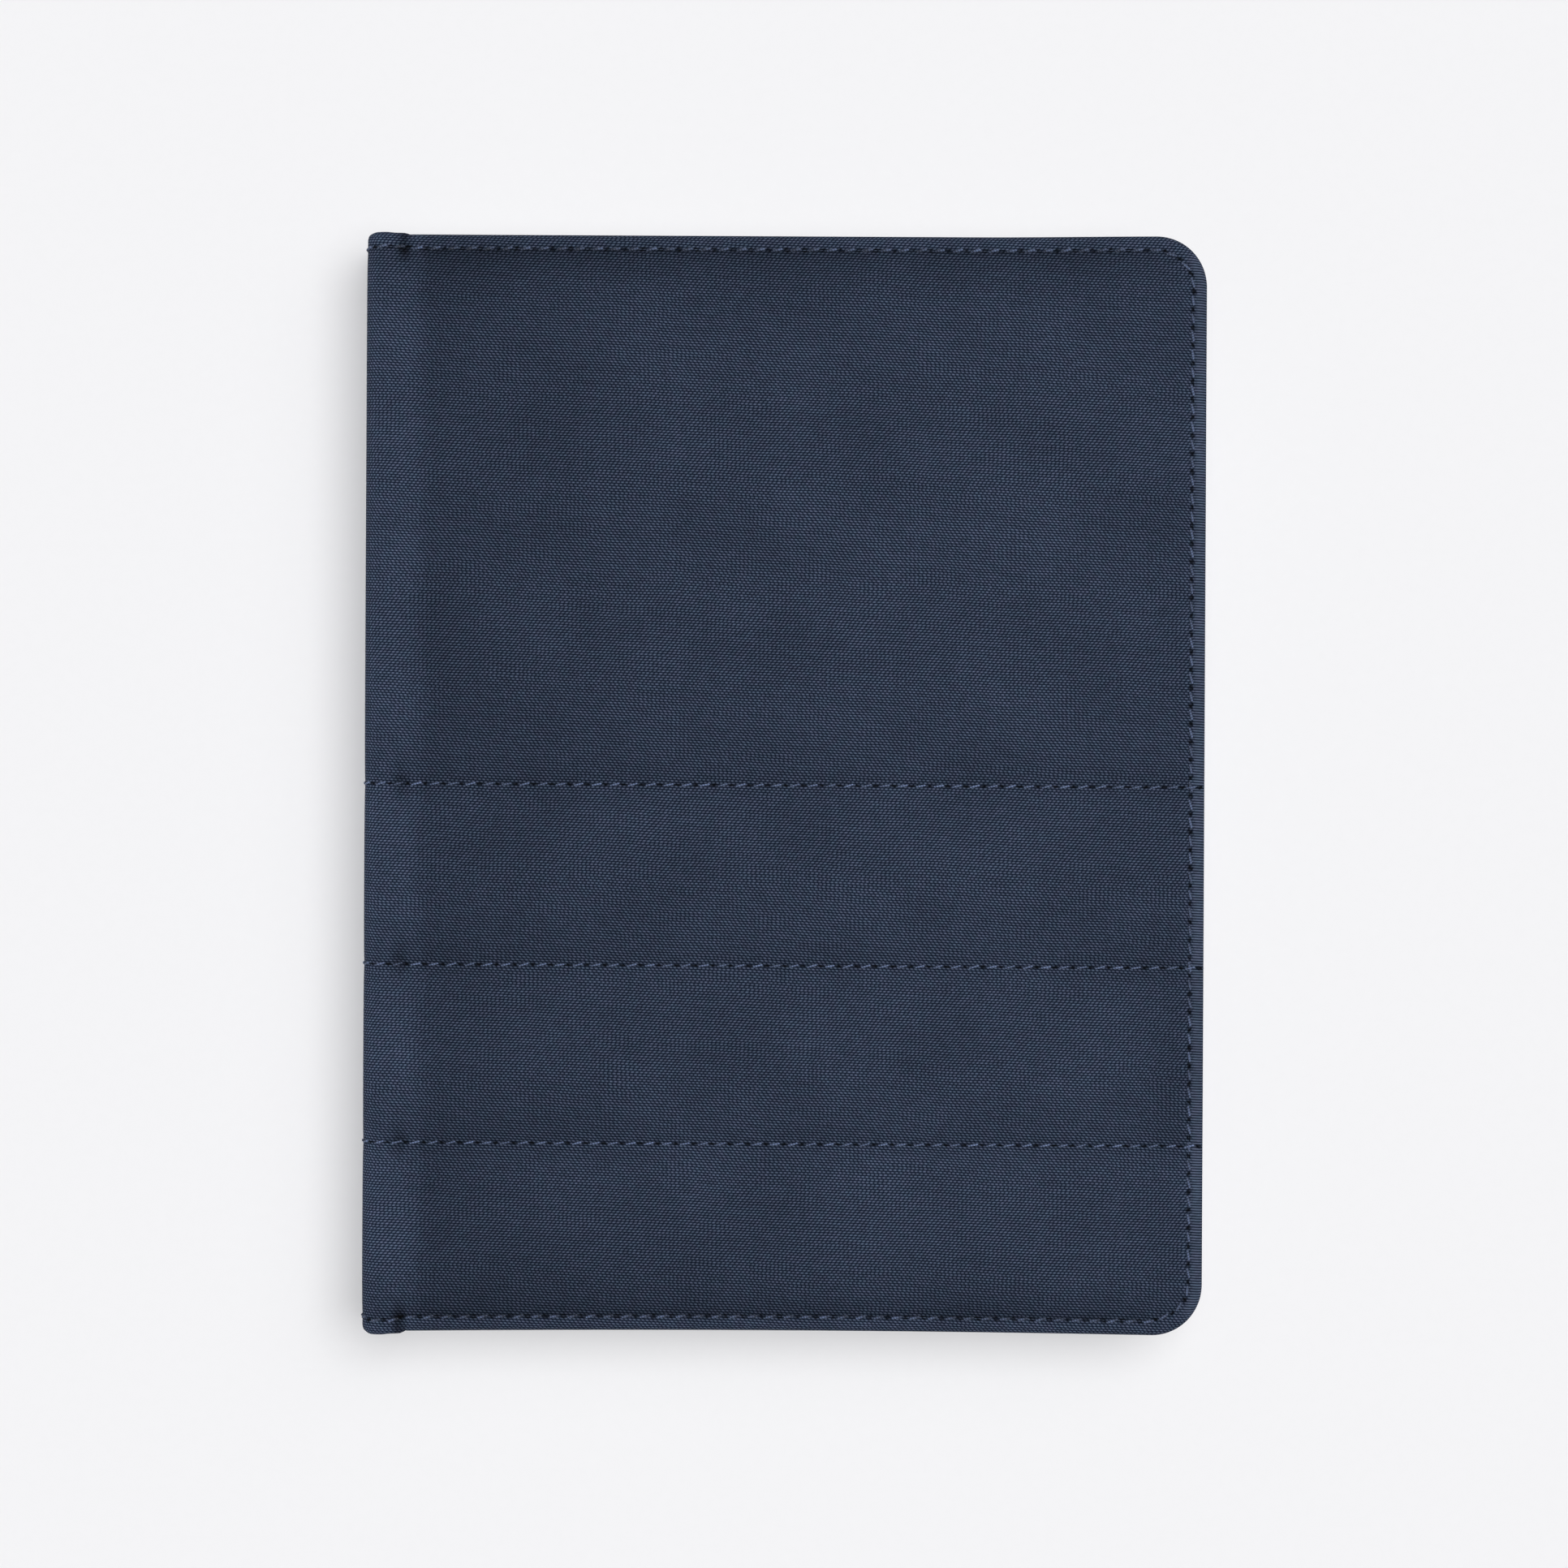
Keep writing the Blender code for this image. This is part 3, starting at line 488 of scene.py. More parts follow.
# The turned-in flap: past the edge, added to that by the hinge, and the cloth's way from the edge
FLAP_STEPS = ((-2.0 * MM, 1.5 * MM, 7 * MM), (-6.0 * MM, 5.1 * MM, 11 * MM))


def spaced(stops):
    """Numbers from the first stop to the last. Each stop after the first comes with a step."""
    out = [stops[0]]
    for stop, step in stops[1:]:
        count = max(1, round((stop - out[-1]) / step))
        out.extend(np.linspace(out[-1], stop, count + 1)[1:])
    return np.array(out)


def grid_lines():
    """(distances along the cloth, heights along Y) at which the covers' mesh has its points."""
    s = spaced([0.0, (SHOULDER_START, 1.2 * MM), (PANEL_START, 0.55 * MM),
                (PANEL_START + 6 * MM, 0.5 * MM), (GRID_FORE - EDGE_BAND, 0.77 * MM),
                (GRID_FORE, FINE_STEP)])
    stops = [-GRID_END, (-GRID_END + EDGE_BAND, FINE_STEP)]
    for seam in SEAMS[::-1]:
        stops += [(seam - SEAM_BAND, WIDE_STEP), (seam + SEAM_BAND, 0.4 * MM)]
    stops += [(GRID_END - EDGE_BAND, WIDE_STEP), (GRID_END, FINE_STEP)]
    return s, spaced(stops)


def rounded_grid():
    """The grid of (s, y), with its fore corners drawn in to arcs and its ends bowed."""
    s, v = np.meshgrid(*grid_lines(), indexing="ij")
    radius = CORNER_R - EDGE_REACH
    a = (s - (GRID_FORE - radius)) / radius
    b = (np.abs(v) - (GRID_END - radius)) / radius
    in_corner = (a > 0) & (b > 0)
    draw = np.where(in_corner, np.maximum(a, b) / np.maximum(np.hypot(a, b), 1e-9), 1.0)
    s = np.where(in_corner, GRID_FORE - radius + a * draw * radius, s)
    away = np.where(in_corner, GRID_END - radius + b * draw * radius, np.abs(v))
    grow = nearer_half(profile(s)[0], v) - PANEL_HALF
    return s, np.sign(v) * (away + grow * ramp(away, BOW_START, GRID_END - BOW_START))


def round_edge(grid):
    """A grid's values along its open edge, from head to fore to tail."""
    return np.concatenate([grid[:, -1], grid[-1, -2::-1], grid[-2::-1, 0]])


def near_hinge(s, before, after):
    """From 0 to 1, where an edge is within the hinge, or so far before and after it."""
    return ramp(s, SHOULDER_START - before, 2 * MM) * ramp(s, PANEL_START + after, -2 * MM)


def cloth_skin(name, mirrored, look):
    """The outer cloth of one cover and half of the spine, turned in over the boards all round."""
    s, y = rounded_grid()
    index = np.arange(s.size).reshape(s.shape)
    all_points = [surface(s, y).reshape(-1, 3)]
    all_flat = [stacked(s, y).reshape(-1, 2)]
    all_shades = [shade_of(s, y).ravel()]
    faces = grid_faces(index).tolist()

    edge_s, edge_y = round_edge(s), round_edge(y)
    ds, dy = np.gradient(edge_s), np.gradient(edge_y)
    length = np.hypot(ds, dy)
    out_s, out_y = -dy / length, ds / length
    x, _, nx, nz = profile(edge_s)
    start = surface(edge_s, edge_y)
    outward = stacked(out_s * nz, out_y, -out_s * nx)
    normal = stacked(nx, np.zeros_like(nx), nz)
    in_hinge = near_hinge(edge_s, 1.5 * MM, 1.4 * MM)
    thick = (TOP - LINING_Z - LINING_GAP) * (1 - in_hinge) + HINGE_EDGE_THICK * in_hinge
    half_thick = (thick - sink(edge_s, edge_y))[:, None] / 2
    turns = [math.pi * k / EDGE_STEPS for k in range(1, EDGE_STEPS + 1)]
    rings = [(math.sin(t) * EDGE_REACH, 1 - math.cos(t), t * EDGE_REACH * 1.05) for t in turns]
    by_hinge = near_hinge(edge_s, 5 * MM, 6 * MM)[:, None]
    rings += [(reach + added * by_hinge, 2.0, travel) for reach, added, travel in FLAP_STEPS]
    last, count = round_edge(index), s.size
    for reach, drop, travel in rings:
        all_points.append(start + outward * reach - normal * half_thick * drop)
        all_flat.append(stacked(edge_s + out_s * travel, edge_y + out_y * travel))
        all_shades.append(shade_of(edge_s, edge_y))
        fresh = np.arange(count, count + len(edge_s))
        faces += stacked(last[:-1], last[1:], fresh[1:], fresh[:-1]).tolist()
        last = fresh
        count += len(edge_s)
    points, uv = np.concatenate(all_points), np.concatenate(all_flat) / UV_UNIT
    if mirrored:
        points[:, 2] = TOP - points[:, 2]
        uv[:, 0] = -uv[:, 0]
        faces = [face[::-1] for face in faces]
    skin = mesh_object(name, points, faces, look, uv, np.concatenate(all_shades))
    ribs = fore_border(profile(s)[0], y).ravel()
    ribs = np.concatenate([ribs, np.tile(fore_border(x, edge_y), len(rings))])
    set_values(skin.data, "ribs", ribs)
    return skin


# ---- Mesh helpers
def linked(name, data):
    made = bpy.data.objects.new(name, data)
    bpy.context.scene.collection.objects.link(made)
    return made


def mesh_object(name, points, faces, look, uv=None, shade=1.0):
    """A smooth mesh. uv and shade hold one value for each point."""
    mesh = bpy.data.meshes.new(name)
    mesh.from_pydata(np.asarray(points).tolist(), [], [list(face) for face in faces])
    mesh.validate()
    mesh.shade_smooth()
    mesh.materials.append(look)
    if uv is not None:
        layer = mesh.uv_layers.new(name="weave")
        corners = np.zeros(len(mesh.loops), int)
        mesh.loops.foreach_get("vertex_index", corners)
        layer.data.foreach_set("uv", np.asarray(uv, np.float32)[corners].ravel())
        set_values(mesh, "shade", np.broadcast_to(shade, len(mesh.vertices)))
    return linked(name, mesh)


def set_values(mesh, name, values):
    attribute = mesh.attributes.new(name, "FLOAT", "POINT")
    attribute.data.foreach_set("value", np.array(values, np.float32))


def stacked(*values):
    return np.stack(values, axis=-1)


def grid_faces(index):
    """Quads between the points of a grid of point numbers."""
    quads = stacked(index[:-1, :-1], index[1:, :-1], index[1:, 1:], index[:-1, 1:])
    return quads.reshape(-1, 4)


def ring_walls(rings, sides, first=0):
    """Quads between rings of points, numbered on from first."""
    faces = []
    for start in range(first, first + (rings - 1) * sides, sides):
        for j in range(sides):
            k = (j + 1) % sides
            faces.append([start + j, start + k, start + sides + k, start + sides + j])
    return faces


def tube_faces(rings, sides):
    last = (rings - 1) * sides
    return ring_walls(rings, sides) + [list(range(sides))[::-1], list(range(last, last + sides))]


def travelled_along(*coordinates):
    """How far each point of a line is along it."""
    steps = np.hypot(*(np.diff(values) for values in coordinates))
    return np.concatenate([[0.0], np.cumsum(steps)])


def apply_modifier(obj, kind, **settings):
    """Bakes one modifier into the object's mesh."""
    modifier = obj.modifiers.new(kind.lower(), kind)
    for key, value in settings.items():
        setattr(modifier, key, value)
    depsgraph = bpy.context.evaluated_depsgraph_get()
    baked = bpy.data.meshes.new_from_object(obj.evaluated_get(depsgraph))
    obj.modifiers.clear()
    old = obj.data
    obj.data = baked
    bpy.data.meshes.remove(old)
    baked.name = obj.name


class Pieces:
    """Many small shapes gathered into one mesh."""

    def __init__(self):
        self.points, self.faces, self.uv, self.shade, self.count = [], [], [], [], 0

    def add(self, points, faces, uv=0.0, shade=1.0):
        self.points.append(points)
        self.uv.append(np.broadcast_to(uv, (len(points), 2)))
        self.shade.append(np.broadcast_to(shade, len(points)))
        self.faces += [[self.count + i for i in face] for face in faces]
        self.count += len(points)

    def build(self, name, look):
        points, uv, shade = (np.concatenate(a) for a in (self.points, self.uv, self.shade))
        return mesh_object(name, points, self.faces, look, uv, shade)


# ---- Stitching
STITCH_HALF = 1.24 * MM  # half of a stitch's length
STITCH_R = 0.31 * MM
STITCH_SLANT = 0.28 * MM
STITCH_RINGS = 7
STITCH_SIDES = 6
STITCH_LIGHT = (0.70, 1.25)
BORDER_OFFSET, SEAM_OFFSET = 0.9 * MM, 1.2 * MM  # from the start of a line to its first stitch
FINE_SIZE, FINE_LIGHT = 0.72, 1.5  # of the quilting seams' stitches, beside the border's
SEAM_END = 1.2 * MM  # from a quilting seam's last stitch to the fore edge
ROUTE_STEPS = 400
# A needle's hollow is a patch of painted shade, lying just above the cloth
HOLLOW_REACH, HOLLOW_WIDTH = 0.94 * MM, 0.60 * MM
HOLLOW_VARIETY = (0.70, 1.15)
HOLLOW_MIDDLE = (0.08, 0.05 * MM)  # tone and height above the cloth
# Rings round the middle: share of the hollow's size, tone of its painted shade, and height
HOLLOW_RINGS = ((0.40, 0.15, 0.05 * MM), (0.70, 0.46, 0.045 * MM), (1.0, 0.90, 0.02 * MM))
HOLLOW_SIDES = 12


def border_route():
    """(s, y) along the border's stitching, from mid-spine round to mid-spine."""
    radius = CORNER_R - BORDER
    corner = CLOTH_END - BORDER - radius
    run, turn = np.linspace(0.0, corner, ROUTE_STEPS), np.linspace(math.pi / 2, 0.0, 40)
    s = np.concatenate([run, corner + radius * np.cos(turn)])
    head, tail = (np.concatenate([half_height(profile(run)[0], at_head),
                                  half_height(0.0, at_head) - radius + radius * np.sin(turn)])
                  - BORDER for at_head in (True, False))
    return np.concatenate([s, s[::-1]]), np.concatenate([head, -tail[::-1]])


def seam_route(seam):
    s = np.linspace(0.0, CLOTH_END - SEAM_END, ROUTE_STEPS)
    return s, np.full_like(s, seam)


def stepped(s, y, offset):
    """Middles and directions of the stitches along a route."""
    travelled = travelled_along(s, y)
    places = np.arange(offset, travelled[-1] - STITCH_HALF, STITCH_PITCH)
    middle, ahead = (stacked(np.interp(at, travelled, s), np.interp(at, travelled, y))
                     for at in (places, places + 0.3 * MM))
    along = ahead - middle
    return middle, along / np.linalg.norm(along, axis=1)[:, None]


def even_shade(s, y):
    return np.ones(np.shape(s))


def add_stitches(threads, hollows, rng, route, offset, on_top, u_sign=1, shade_at=even_shade, fine=False):
    """Threads that lie slanted on the cloth, and painted shade for the needle's hollows between them."""
    t = np.linspace(-1, 1, STITCH_RINGS)
    size, lighter = (FINE_SIZE, FINE_LIGHT) if fine else (1.0, 1.0)
    for (ms, my), (ds, dy) in zip(*stepped(*route, offset)):
        slant = STITCH_SLANT * rng.uniform(0.6, 1.3)
        length = STITCH_HALF * rng.uniform(0.93, 1.04)
        line_s = ms + ds * length * t - dy * slant * t
        line_y = my + dy * length * t + ds * slant * t
        centre = on_top(line_s, line_y, (0.22 * (1 - t**4) - 0.34 * t**6) * MM)
        # Thread tone: its own random tone, painted light towards its forward end, painted shade at both ends
        # where it dives into the cloth, and the cloth's painted light and shade round it
        light = rng.uniform(*STITCH_LIGHT) * (0.90 + 0.20 * t) * (1 - 0.5 * t**6)
        light = light * np.minimum(shade_at(line_s, line_y) + 0.1, 1.1) * lighter
        threads.add(*stitch_tube(centre, STITCH_R * size), np.repeat(light, STITCH_SIDES))
        hole = (ms + ds * STITCH_PITCH / 2, my + dy * STITCH_PITCH / 2)
        hollows.add(*hollow_shade_patch(hole, (ds, dy), size, rng, on_top, u_sign, shade_at))


def stitch_tube(centre, radius):
    """A round thread along its centre line, thinner towards its ends."""
    ahead = np.gradient(centre, axis=0)
    ahead /= np.linalg.norm(ahead, axis=1)[:, None]
    side = np.cross(ahead, [0.0, 0.0, 1.0])
    weak = np.linalg.norm(side, axis=1) < 0.2
    side[weak] = np.cross(ahead[weak], [0.0, 1.0, 0.0])
    side /= np.linalg.norm(side, axis=1)[:, None]
    up = np.cross(side, ahead)
    share = np.arange(STITCH_SIDES) / STITCH_SIDES
    turns = (TURN * share)[:, None]
    taper = 1 - 0.45 * np.abs(np.linspace(-1, 1, len(centre))) ** 3
    spokes = side[:, None] * np.cos(turns) + up[:, None] * np.sin(turns)
    points = centre[:, None] + spokes * radius * taper[:, None, None]
    uv = stacked(*np.meshgrid(np.linspace(0, 1, len(centre)), share, indexing="ij"))
    return points.reshape(-1, 3), tube_faces(len(centre), STITCH_SIDES), uv.reshape(-1, 2)


def hollow_shade_patch(middle, along, size, rng, on_top, u_sign, shade_at):
    """A patch of painted shade for a needle's hollow, lying on the cloth. Its weave runs on from the
    cloth round it and darkens inwards.
    """
    (s, y), (ds, dy) = middle, along
    reach = HOLLOW_REACH * rng.uniform(*HOLLOW_VARIETY)
    width = HOLLOW_WIDTH * rng.uniform(*HOLLOW_VARIETY) * size
    turns = np.tile(np.linspace(0, TURN, HOLLOW_SIDES, endpoint=False), len(HOLLOW_RINGS))
    wobble = 1 + 0.16 * np.sin(2 * turns + rng.uniform(0, 6)) + 0.10 * np.sin(3 * turns + rng.uniform(0, 6))
    shares, tones, heights = np.repeat(HOLLOW_RINGS, HOLLOW_SIDES, axis=0).T
    a, b = reach * shares * wobble * np.cos(turns), width * shares * wobble * np.sin(turns)
    ring_s = np.append(s, s + ds * a - dy * b)
    ring_y = np.append(y, y + dy * a + ds * b)
    points = on_top(ring_s, ring_y, np.append(HOLLOW_MIDDLE[1], heights))
    faces = [[0, 1 + j, 1 + (j + 1) % HOLLOW_SIDES] for j in range(HOLLOW_SIDES)]
    faces += [[a, d, c, b] for a, b, c, d in ring_walls(len(HOLLOW_RINGS), HOLLOW_SIDES, 1)]
    # Painted shade, darkest in the middle, times the cloth's painted light and shade round it
    shade = np.append(HOLLOW_MIDDLE[0], tones) * shade_at(ring_s, ring_y)
    return points, faces, stacked(ring_s * u_sign, ring_y) / UV_UNIT, shade


def outer_side(mirrored):
    """Places points on the outer cloth at a height above it."""

    def place(s, y, lift):
        _, _, nx, nz = profile(s)
        points = surface(s, y)
        points[..., 0] += nx * lift
        points[..., 2] += nz * lift
        if mirrored:
            points[..., 2] = TOP - points[..., 2]
        return points

    return place


def stitched(name, runs, thread_look, cloth_look, seed):
    """(threads, painted shade for the needle's hollows) of several runs of stitches. A run is what
    add_stitches takes.
    """
    rng = np.random.default_rng(seed)
    threads, hollows = Pieces(), Pieces()
    for run in runs:
        add_stitches(threads, hollows, rng, *run)
    return (threads.build(f"{name}_stitching", thread_look),
            hollows.build(f"{name}_stitch_hollows", cloth_look))


def stitching(side, mirrored, looks, seed):
    cloth = (outer_side(mirrored), -1 if mirrored else 1, shade_of)
    runs = [(border_route(), BORDER_OFFSET, *cloth)]
    runs += [(seam_route(seam), SEAM_OFFSET, *cloth, True) for seam in SEAMS]
    return stitched(side, runs, looks["thread"], looks["cloth"], seed)


# ---- Linings and pockets
LINING_INSET = 1.8 * MM  # from the cover's edge
LINING_RADII = (1.0 * MM, CORNER_R - LINING_INSET)
SPINE_LINING_RADII = (0.6 * MM, 0.6 * MM)
POCKET_RADII = (1.2 * MM, 1.2 * MM)
POCKET_SEAM = 1.3 * MM  # from the edge to the stitching
HEM = 1.6 * MM
ROLL = 0.15 * MM  # of a sheet's edge
LEAST_R = 0.02 * MM  # of a corner
FLAT_OFFSET = 2.0 * MM  # to the first stitch
HINGE_ROWS = 121
HINGE_FOLD = [(2.6, 4.9), (1.7, 4.1), (1.7, 3.0), (3.0, 1.8), (4.8, 1.65), (5.9, 2.4), (6.2, 3.9),
              (6.9, 4.45), (9.0, 4.4)]  # mm from the spine's face and from the cover's


def rounded_outline(x, y, radii, inset=0.0, steps=8):
    """Points round a rectangle, inset from its edge. radii are those of its low and high X corners."""
    out = []
    for cx, cy, radius, start in ((x[1], y[0], radii[1], -90), (x[1], y[1], radii[1], 0),
                                  (x[0], y[1], radii[0], 90), (x[0], y[0], radii[0], 180)):
        reach, back = max(radius - inset, LEAST_R), max(radius, inset)
        middle_x = cx - math.copysign(back, cx - (x[0] + x[1]) / 2)
        middle_y = cy - math.copysign(back, cy - (y[0] + y[1]) / 2)
        for k in range(steps + 1):
            angle = math.radians(start + 90 * k / steps)
            out.append((middle_x + reach * math.cos(angle), middle_y + reach * math.sin(angle)))
    return np.array(out)


def face_at(base, facing, upright=False):
    """Places points on a level face that looks up (1) or down (-1). On the spine's upright inner
    face, their first coordinate is the height."""

    def place(across, y, lift):
        across, y, out = np.broadcast_arrays(across, y, base + facing * lift)
        return np.stack([out, y, across] if upright else [across, y, out], axis=-1)

    return place


def sewn_sheet(node, body, facing, radii, looks, routes=None, seed=0, upright=False):
    """A closed sheet of lining cloth in the place of a node, with a rolled edge and stitches."""
    low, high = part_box(node)
    if upright:
        x, thick, base = (low.z, high.z), high.x - low.x, low.x
    else:
        x, thick, base = (low.x, high.x), high.z - low.z, low.z if facing > 0 else high.z
    y = (low.y, high.y)
    place = face_at(base, facing, upright)
    levels = [(0.6 * MM, 0.0), (ROLL, 0.0), (0.0, thick * 0.4), (ROLL * 0.3, thick * 0.75),
              (ROLL, thick * 0.94), (ROLL * 2.5, thick), (HEM * 0.8, thick),
              (HEM, thick - 0.05 * MM), (HEM * 1.25, thick - 0.02 * MM), (HEM * 2, thick)]
    rings = [rounded_outline(x, y, radii, inset) for inset, _ in levels]
    points = [place(ring[:, 0], ring[:, 1], height) for ring, (_, height) in zip(rings, levels)]
    step = -1 if facing < 0 or upright else 1
    faces = [face[::step] for face in tube_faces(len(levels), len(rings[0]))]
    sheet = mesh_object(f"{node}_cloth", np.concatenate(points), faces, looks["lining"],
                        np.concatenate(rings) / UV_UNIT)

    def on_sheet(across, up, lift):
        return place(across, up, lift + thick)

    stitches = ()
    if routes:
        runs = [(np.asarray(route, float).T, FLAT_OFFSET, on_sheet) for route in routes(x, y)]
        stitches = stitched(node, runs, looks["lining_thread"], looks["lining"], seed)
    for piece in (sheet, *stitches):
        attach(piece, body)
    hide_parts(node)


def lining_routes(x, y):
    """A line of stitching all round a cover's lining."""
    line = rounded_outline(x, y, LINING_RADII, BORDER - LINING_INSET)
    line = np.roll(line, -np.argmin(line[:, 0] - line[:, 1]), axis=0)
    return [np.vstack([line, line[:1]])]


def pocket(node, hem, looks, seed):
    """A sheet sewn to the front cover's lining on three sides, with a hem along its open top."""

    def routes(x, y):
        left, right, foot = x[0] + POCKET_SEAM, x[1] - POCKET_SEAM, y[0] + POCKET_SEAM
        ends = y[1] - 1.5 * MM
        sides = [(left, ends), (left, foot), (right, foot), (right, ends)]
        return [sides, [(left + 2 * MM, y[1] - hem), (right - 2 * MM, y[1] - hem)]]

    sewn_sheet(node, "front_cover", -1, POCKET_RADII, looks, routes, seed)


def smooth_line(stops, steps=6):
    """A Catmull-Rom curve through the stops."""
    stops = np.asarray(stops, float)
    padded = np.vstack([2 * stops[0] - stops[1], stops, 2 * stops[-1] - stops[-2]])
    out = []
    for i in range(1, len(padded) - 2):
        p0, p1, p2, p3 = padded[i - 1:i + 3]
        for t in np.arange(steps) / steps:
            out.append(0.5 * (2 * p1 + (p2 - p0) * t + (2 * p0 - 5 * p1 + 4 * p2 - p3) * t**2
                              + (3 * p1 - p0 - 3 * p2 + p3) * t**3))
    return np.array(out + [stops[-1]])


def hinge_lining(side, looks):
    """The strip of lining that folds into the hinge between the spine and a cover."""
    spine_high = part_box("spine_lining")[1]
    stops = [(spine_high.x + 0.2 * MM, TOP - 6.8 * MM), (spine_high.x + 0.05 * MM, TOP - 5.6 * MM)]
    stops += [(SPINE_X + across * MM, TOP - down * MM) for across, down in HINGE_FOLD]
    line = smooth_line(stops)
    travelled = travelled_along(*line.T)
    half = spine_high.y + 0.6 * MM
    flat = stacked(*np.meshgrid(travelled, np.linspace(-half, half, HINGE_ROWS), indexing="ij"))
    y = flat[..., 1]
    across = np.sin(np.pi * travelled / travelled[-1])[:, None]
    crumple = np.sin(y * 900 + 1.0) * 0.06 * MM + np.sin(y * 310 + 2.0) * 0.08 * MM
    x = line[:, :1] + crumple * across
    z = line[:, 1:] - np.abs(crumple) * across
    if side == "back":
        z = TOP - z
    faces = grid_faces(np.arange(y.size).reshape(y.shape))[:, [0, 3, 2, 1]]
    if side == "front":
        faces = faces[:, ::-1]
    points = stacked(x, y, z).reshape(-1, 3)
    made = mesh_object(f"{side}_hinge_lining", points, faces.tolist(), looks["lining"],
                       flat.reshape(-1, 2) / UV_UNIT)
    apply_modifier(made, "SOLIDIFY", thickness=0.3 * MM, offset=0.0)
    if side == "front":
        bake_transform(made)
    else:
        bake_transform(made)


# ---- Metal and paper
WIRE_R = 1.05 * MM
WIRE_FOOT = 3.6 * MM  # from the rings' centre to where a wire meets its blade
FOOT_TAPER = (0.90, 0.72, 0.56)  # the wire's radius where it's drawn down to its blade
TIP_ANGLES = (5, 25, 45, 65)  # of the wire's round tip
RING_R = 9.1 * MM
RING_CROWN = RING_R + WIRE_R * math.cos(math.pi / 8)  # the CAD's wires have eight sides
RING_X = (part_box("rivet_upper")[0].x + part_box("rivet_upper")[1].x) / 2
RING_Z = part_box("ring_bar_leaf_side")[1].z - RING_CROWN
RING_YS = [side * (35 + 19 * i) * MM for side in (-1, 1) for i in range(3)]
BLADE_INNER, BLADE_OUTER = 0.25 * MM, 6.4 * MM  # from the rings' centre
BLADE_HALF_LENGTH = 105.5 * MM
BLADE_THICK = 0.8 * MM
NOTCH_R = 2.6 * MM  # round a rivet
NOTCH_STEPS = 9
NOTCH_YS = (92 * MM, -92 * MM)
SHARP = math.radians(40)
WELD = 0.005 * MM
SHIFT_X, SHIFT_Y = 0.10 * MM, 0.22 * MM  # how far a leaf may lie out of line
STEEL_BODIES = {"ring_cover_plate": "back_cover", "rivet_upper": "back_cover",
                "rivet_lower": "back_cover", "trigger_upper": "trigger_upper",
                "trigger_lower": "trigger_lower"}
CARD_BODIES = {"divider_lower": "back_cover", "divider_middle": "back_cover",
               "divider_front": "top_leaves"}
LEAF_BODIES = {"log_leaves_lower": ("back_cover", 14), "log_leaves_middle": ("back_cover", 14),
               "log_leaves_upper": ("back_cover", 9), "log_leaves_turning": ("top_leaves", 4)}


def finished(made, node, body):
    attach(made, body)
    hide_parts(node)


def welded(node):
    """A node's mesh with its corners joined, to edit."""
    bm = bmesh.new()
    bm.from_mesh(bpy.data.objects[node].data)
    bmesh.ops.remove_doubles(bm, verts=bm.verts, dist=WELD)
    return bm


def refined(node, body, slot, look, bevel):
    """A copy of a node's mesh with its edges softened."""
    mesh = bpy.data.meshes.new(f"{node}_{slot}")
    bm = welded(node)
    bmesh.ops.dissolve_limit(bm, angle_limit=math.radians(1.0), verts=bm.verts, edges=bm.edges)
    bm.to_mesh(mesh)
    bm.free()
    mesh.materials.append(look)
    made = linked(mesh.name, mesh)
    apply_modifier(made, "BEVEL", width=bevel, segments=2, limit_method="ANGLE",
                   angle_limit=SHARP, use_clamp_overlap=True)
    made.data.shade_smooth()
    made.data.set_sharp_from_angle(angle=math.radians(50))
    finished(made, node, body)


def half_ring(pieces, y, side, steps=36, sides=18):
    """A round wire from the closing point over the top and down into its blade, with a round tip."""
    tip = math.acos(0.15 * MM / RING_R)
    dome = WIRE_R / RING_R
    turns = [tip - dome * (1 - math.sin(math.radians(a))) for a in TIP_ANGLES]
    radii = [WIRE_R * math.sin(math.radians(a)) for a in TIP_ANGLES]
    turns += list(np.linspace(tip - dome, -math.acos(WIRE_FOOT / RING_R), steps))
    radii += [WIRE_R] * (steps - 3) + [WIRE_R * share for share in FOOT_TAPER]
    around = TURN * np.arange(sides) / sides
    turns, radii = np.array(turns)[:, None], np.array(radii)[:, None]
    reach = RING_R + radii * np.cos(around)
    points = stacked(RING_X + side * reach * np.cos(turns), y + radii * np.sin(around),
                     RING_Z + reach * np.sin(turns))
    pieces.add(points.reshape(-1, 3), [face[::-side] for face in tube_faces(len(turns), sides)])


def blade_outline(side):
    """The blade under the plate, with a half-round notch at each rivet. Points are (x, y)."""
    inner, outer = RING_X + side * BLADE_INNER, RING_X + side * BLADE_OUTER
    out = [(outer, -BLADE_HALF_LENGTH), (outer, BLADE_HALF_LENGTH), (inner, BLADE_HALF_LENGTH)]
    start = math.acos(BLADE_INNER / NOTCH_R)
    for y in NOTCH_YS:
        for turn in np.linspace(start, -start, NOTCH_STEPS):
            out.append((RING_X + side * NOTCH_R * math.cos(turn), y + NOTCH_R * math.sin(turn)))
    return np.array(out + [(inner, -BLADE_HALF_LENGTH)])


def ring_bar(node, side, looks):
    blade_z = RING_Z - math.sqrt(RING_R**2 - WIRE_FOOT**2)
    outline = blade_outline(side)
    count = len(outline)
    levels = [np.column_stack([outline, np.full(count, blade_z + half * BLADE_THICK / 2)])
              for half in (-1, 1)]
    pieces = Pieces()
    pieces.add(np.vstack(levels), [face[::side] for face in tube_faces(2, count)])
    for y in RING_YS:
        half_ring(pieces, y, side)
    made = pieces.build(f"{node}_steel", looks["steel"])
    made.data.set_sharp_from_angle(angle=SHARP)
    finished(made, node, node)


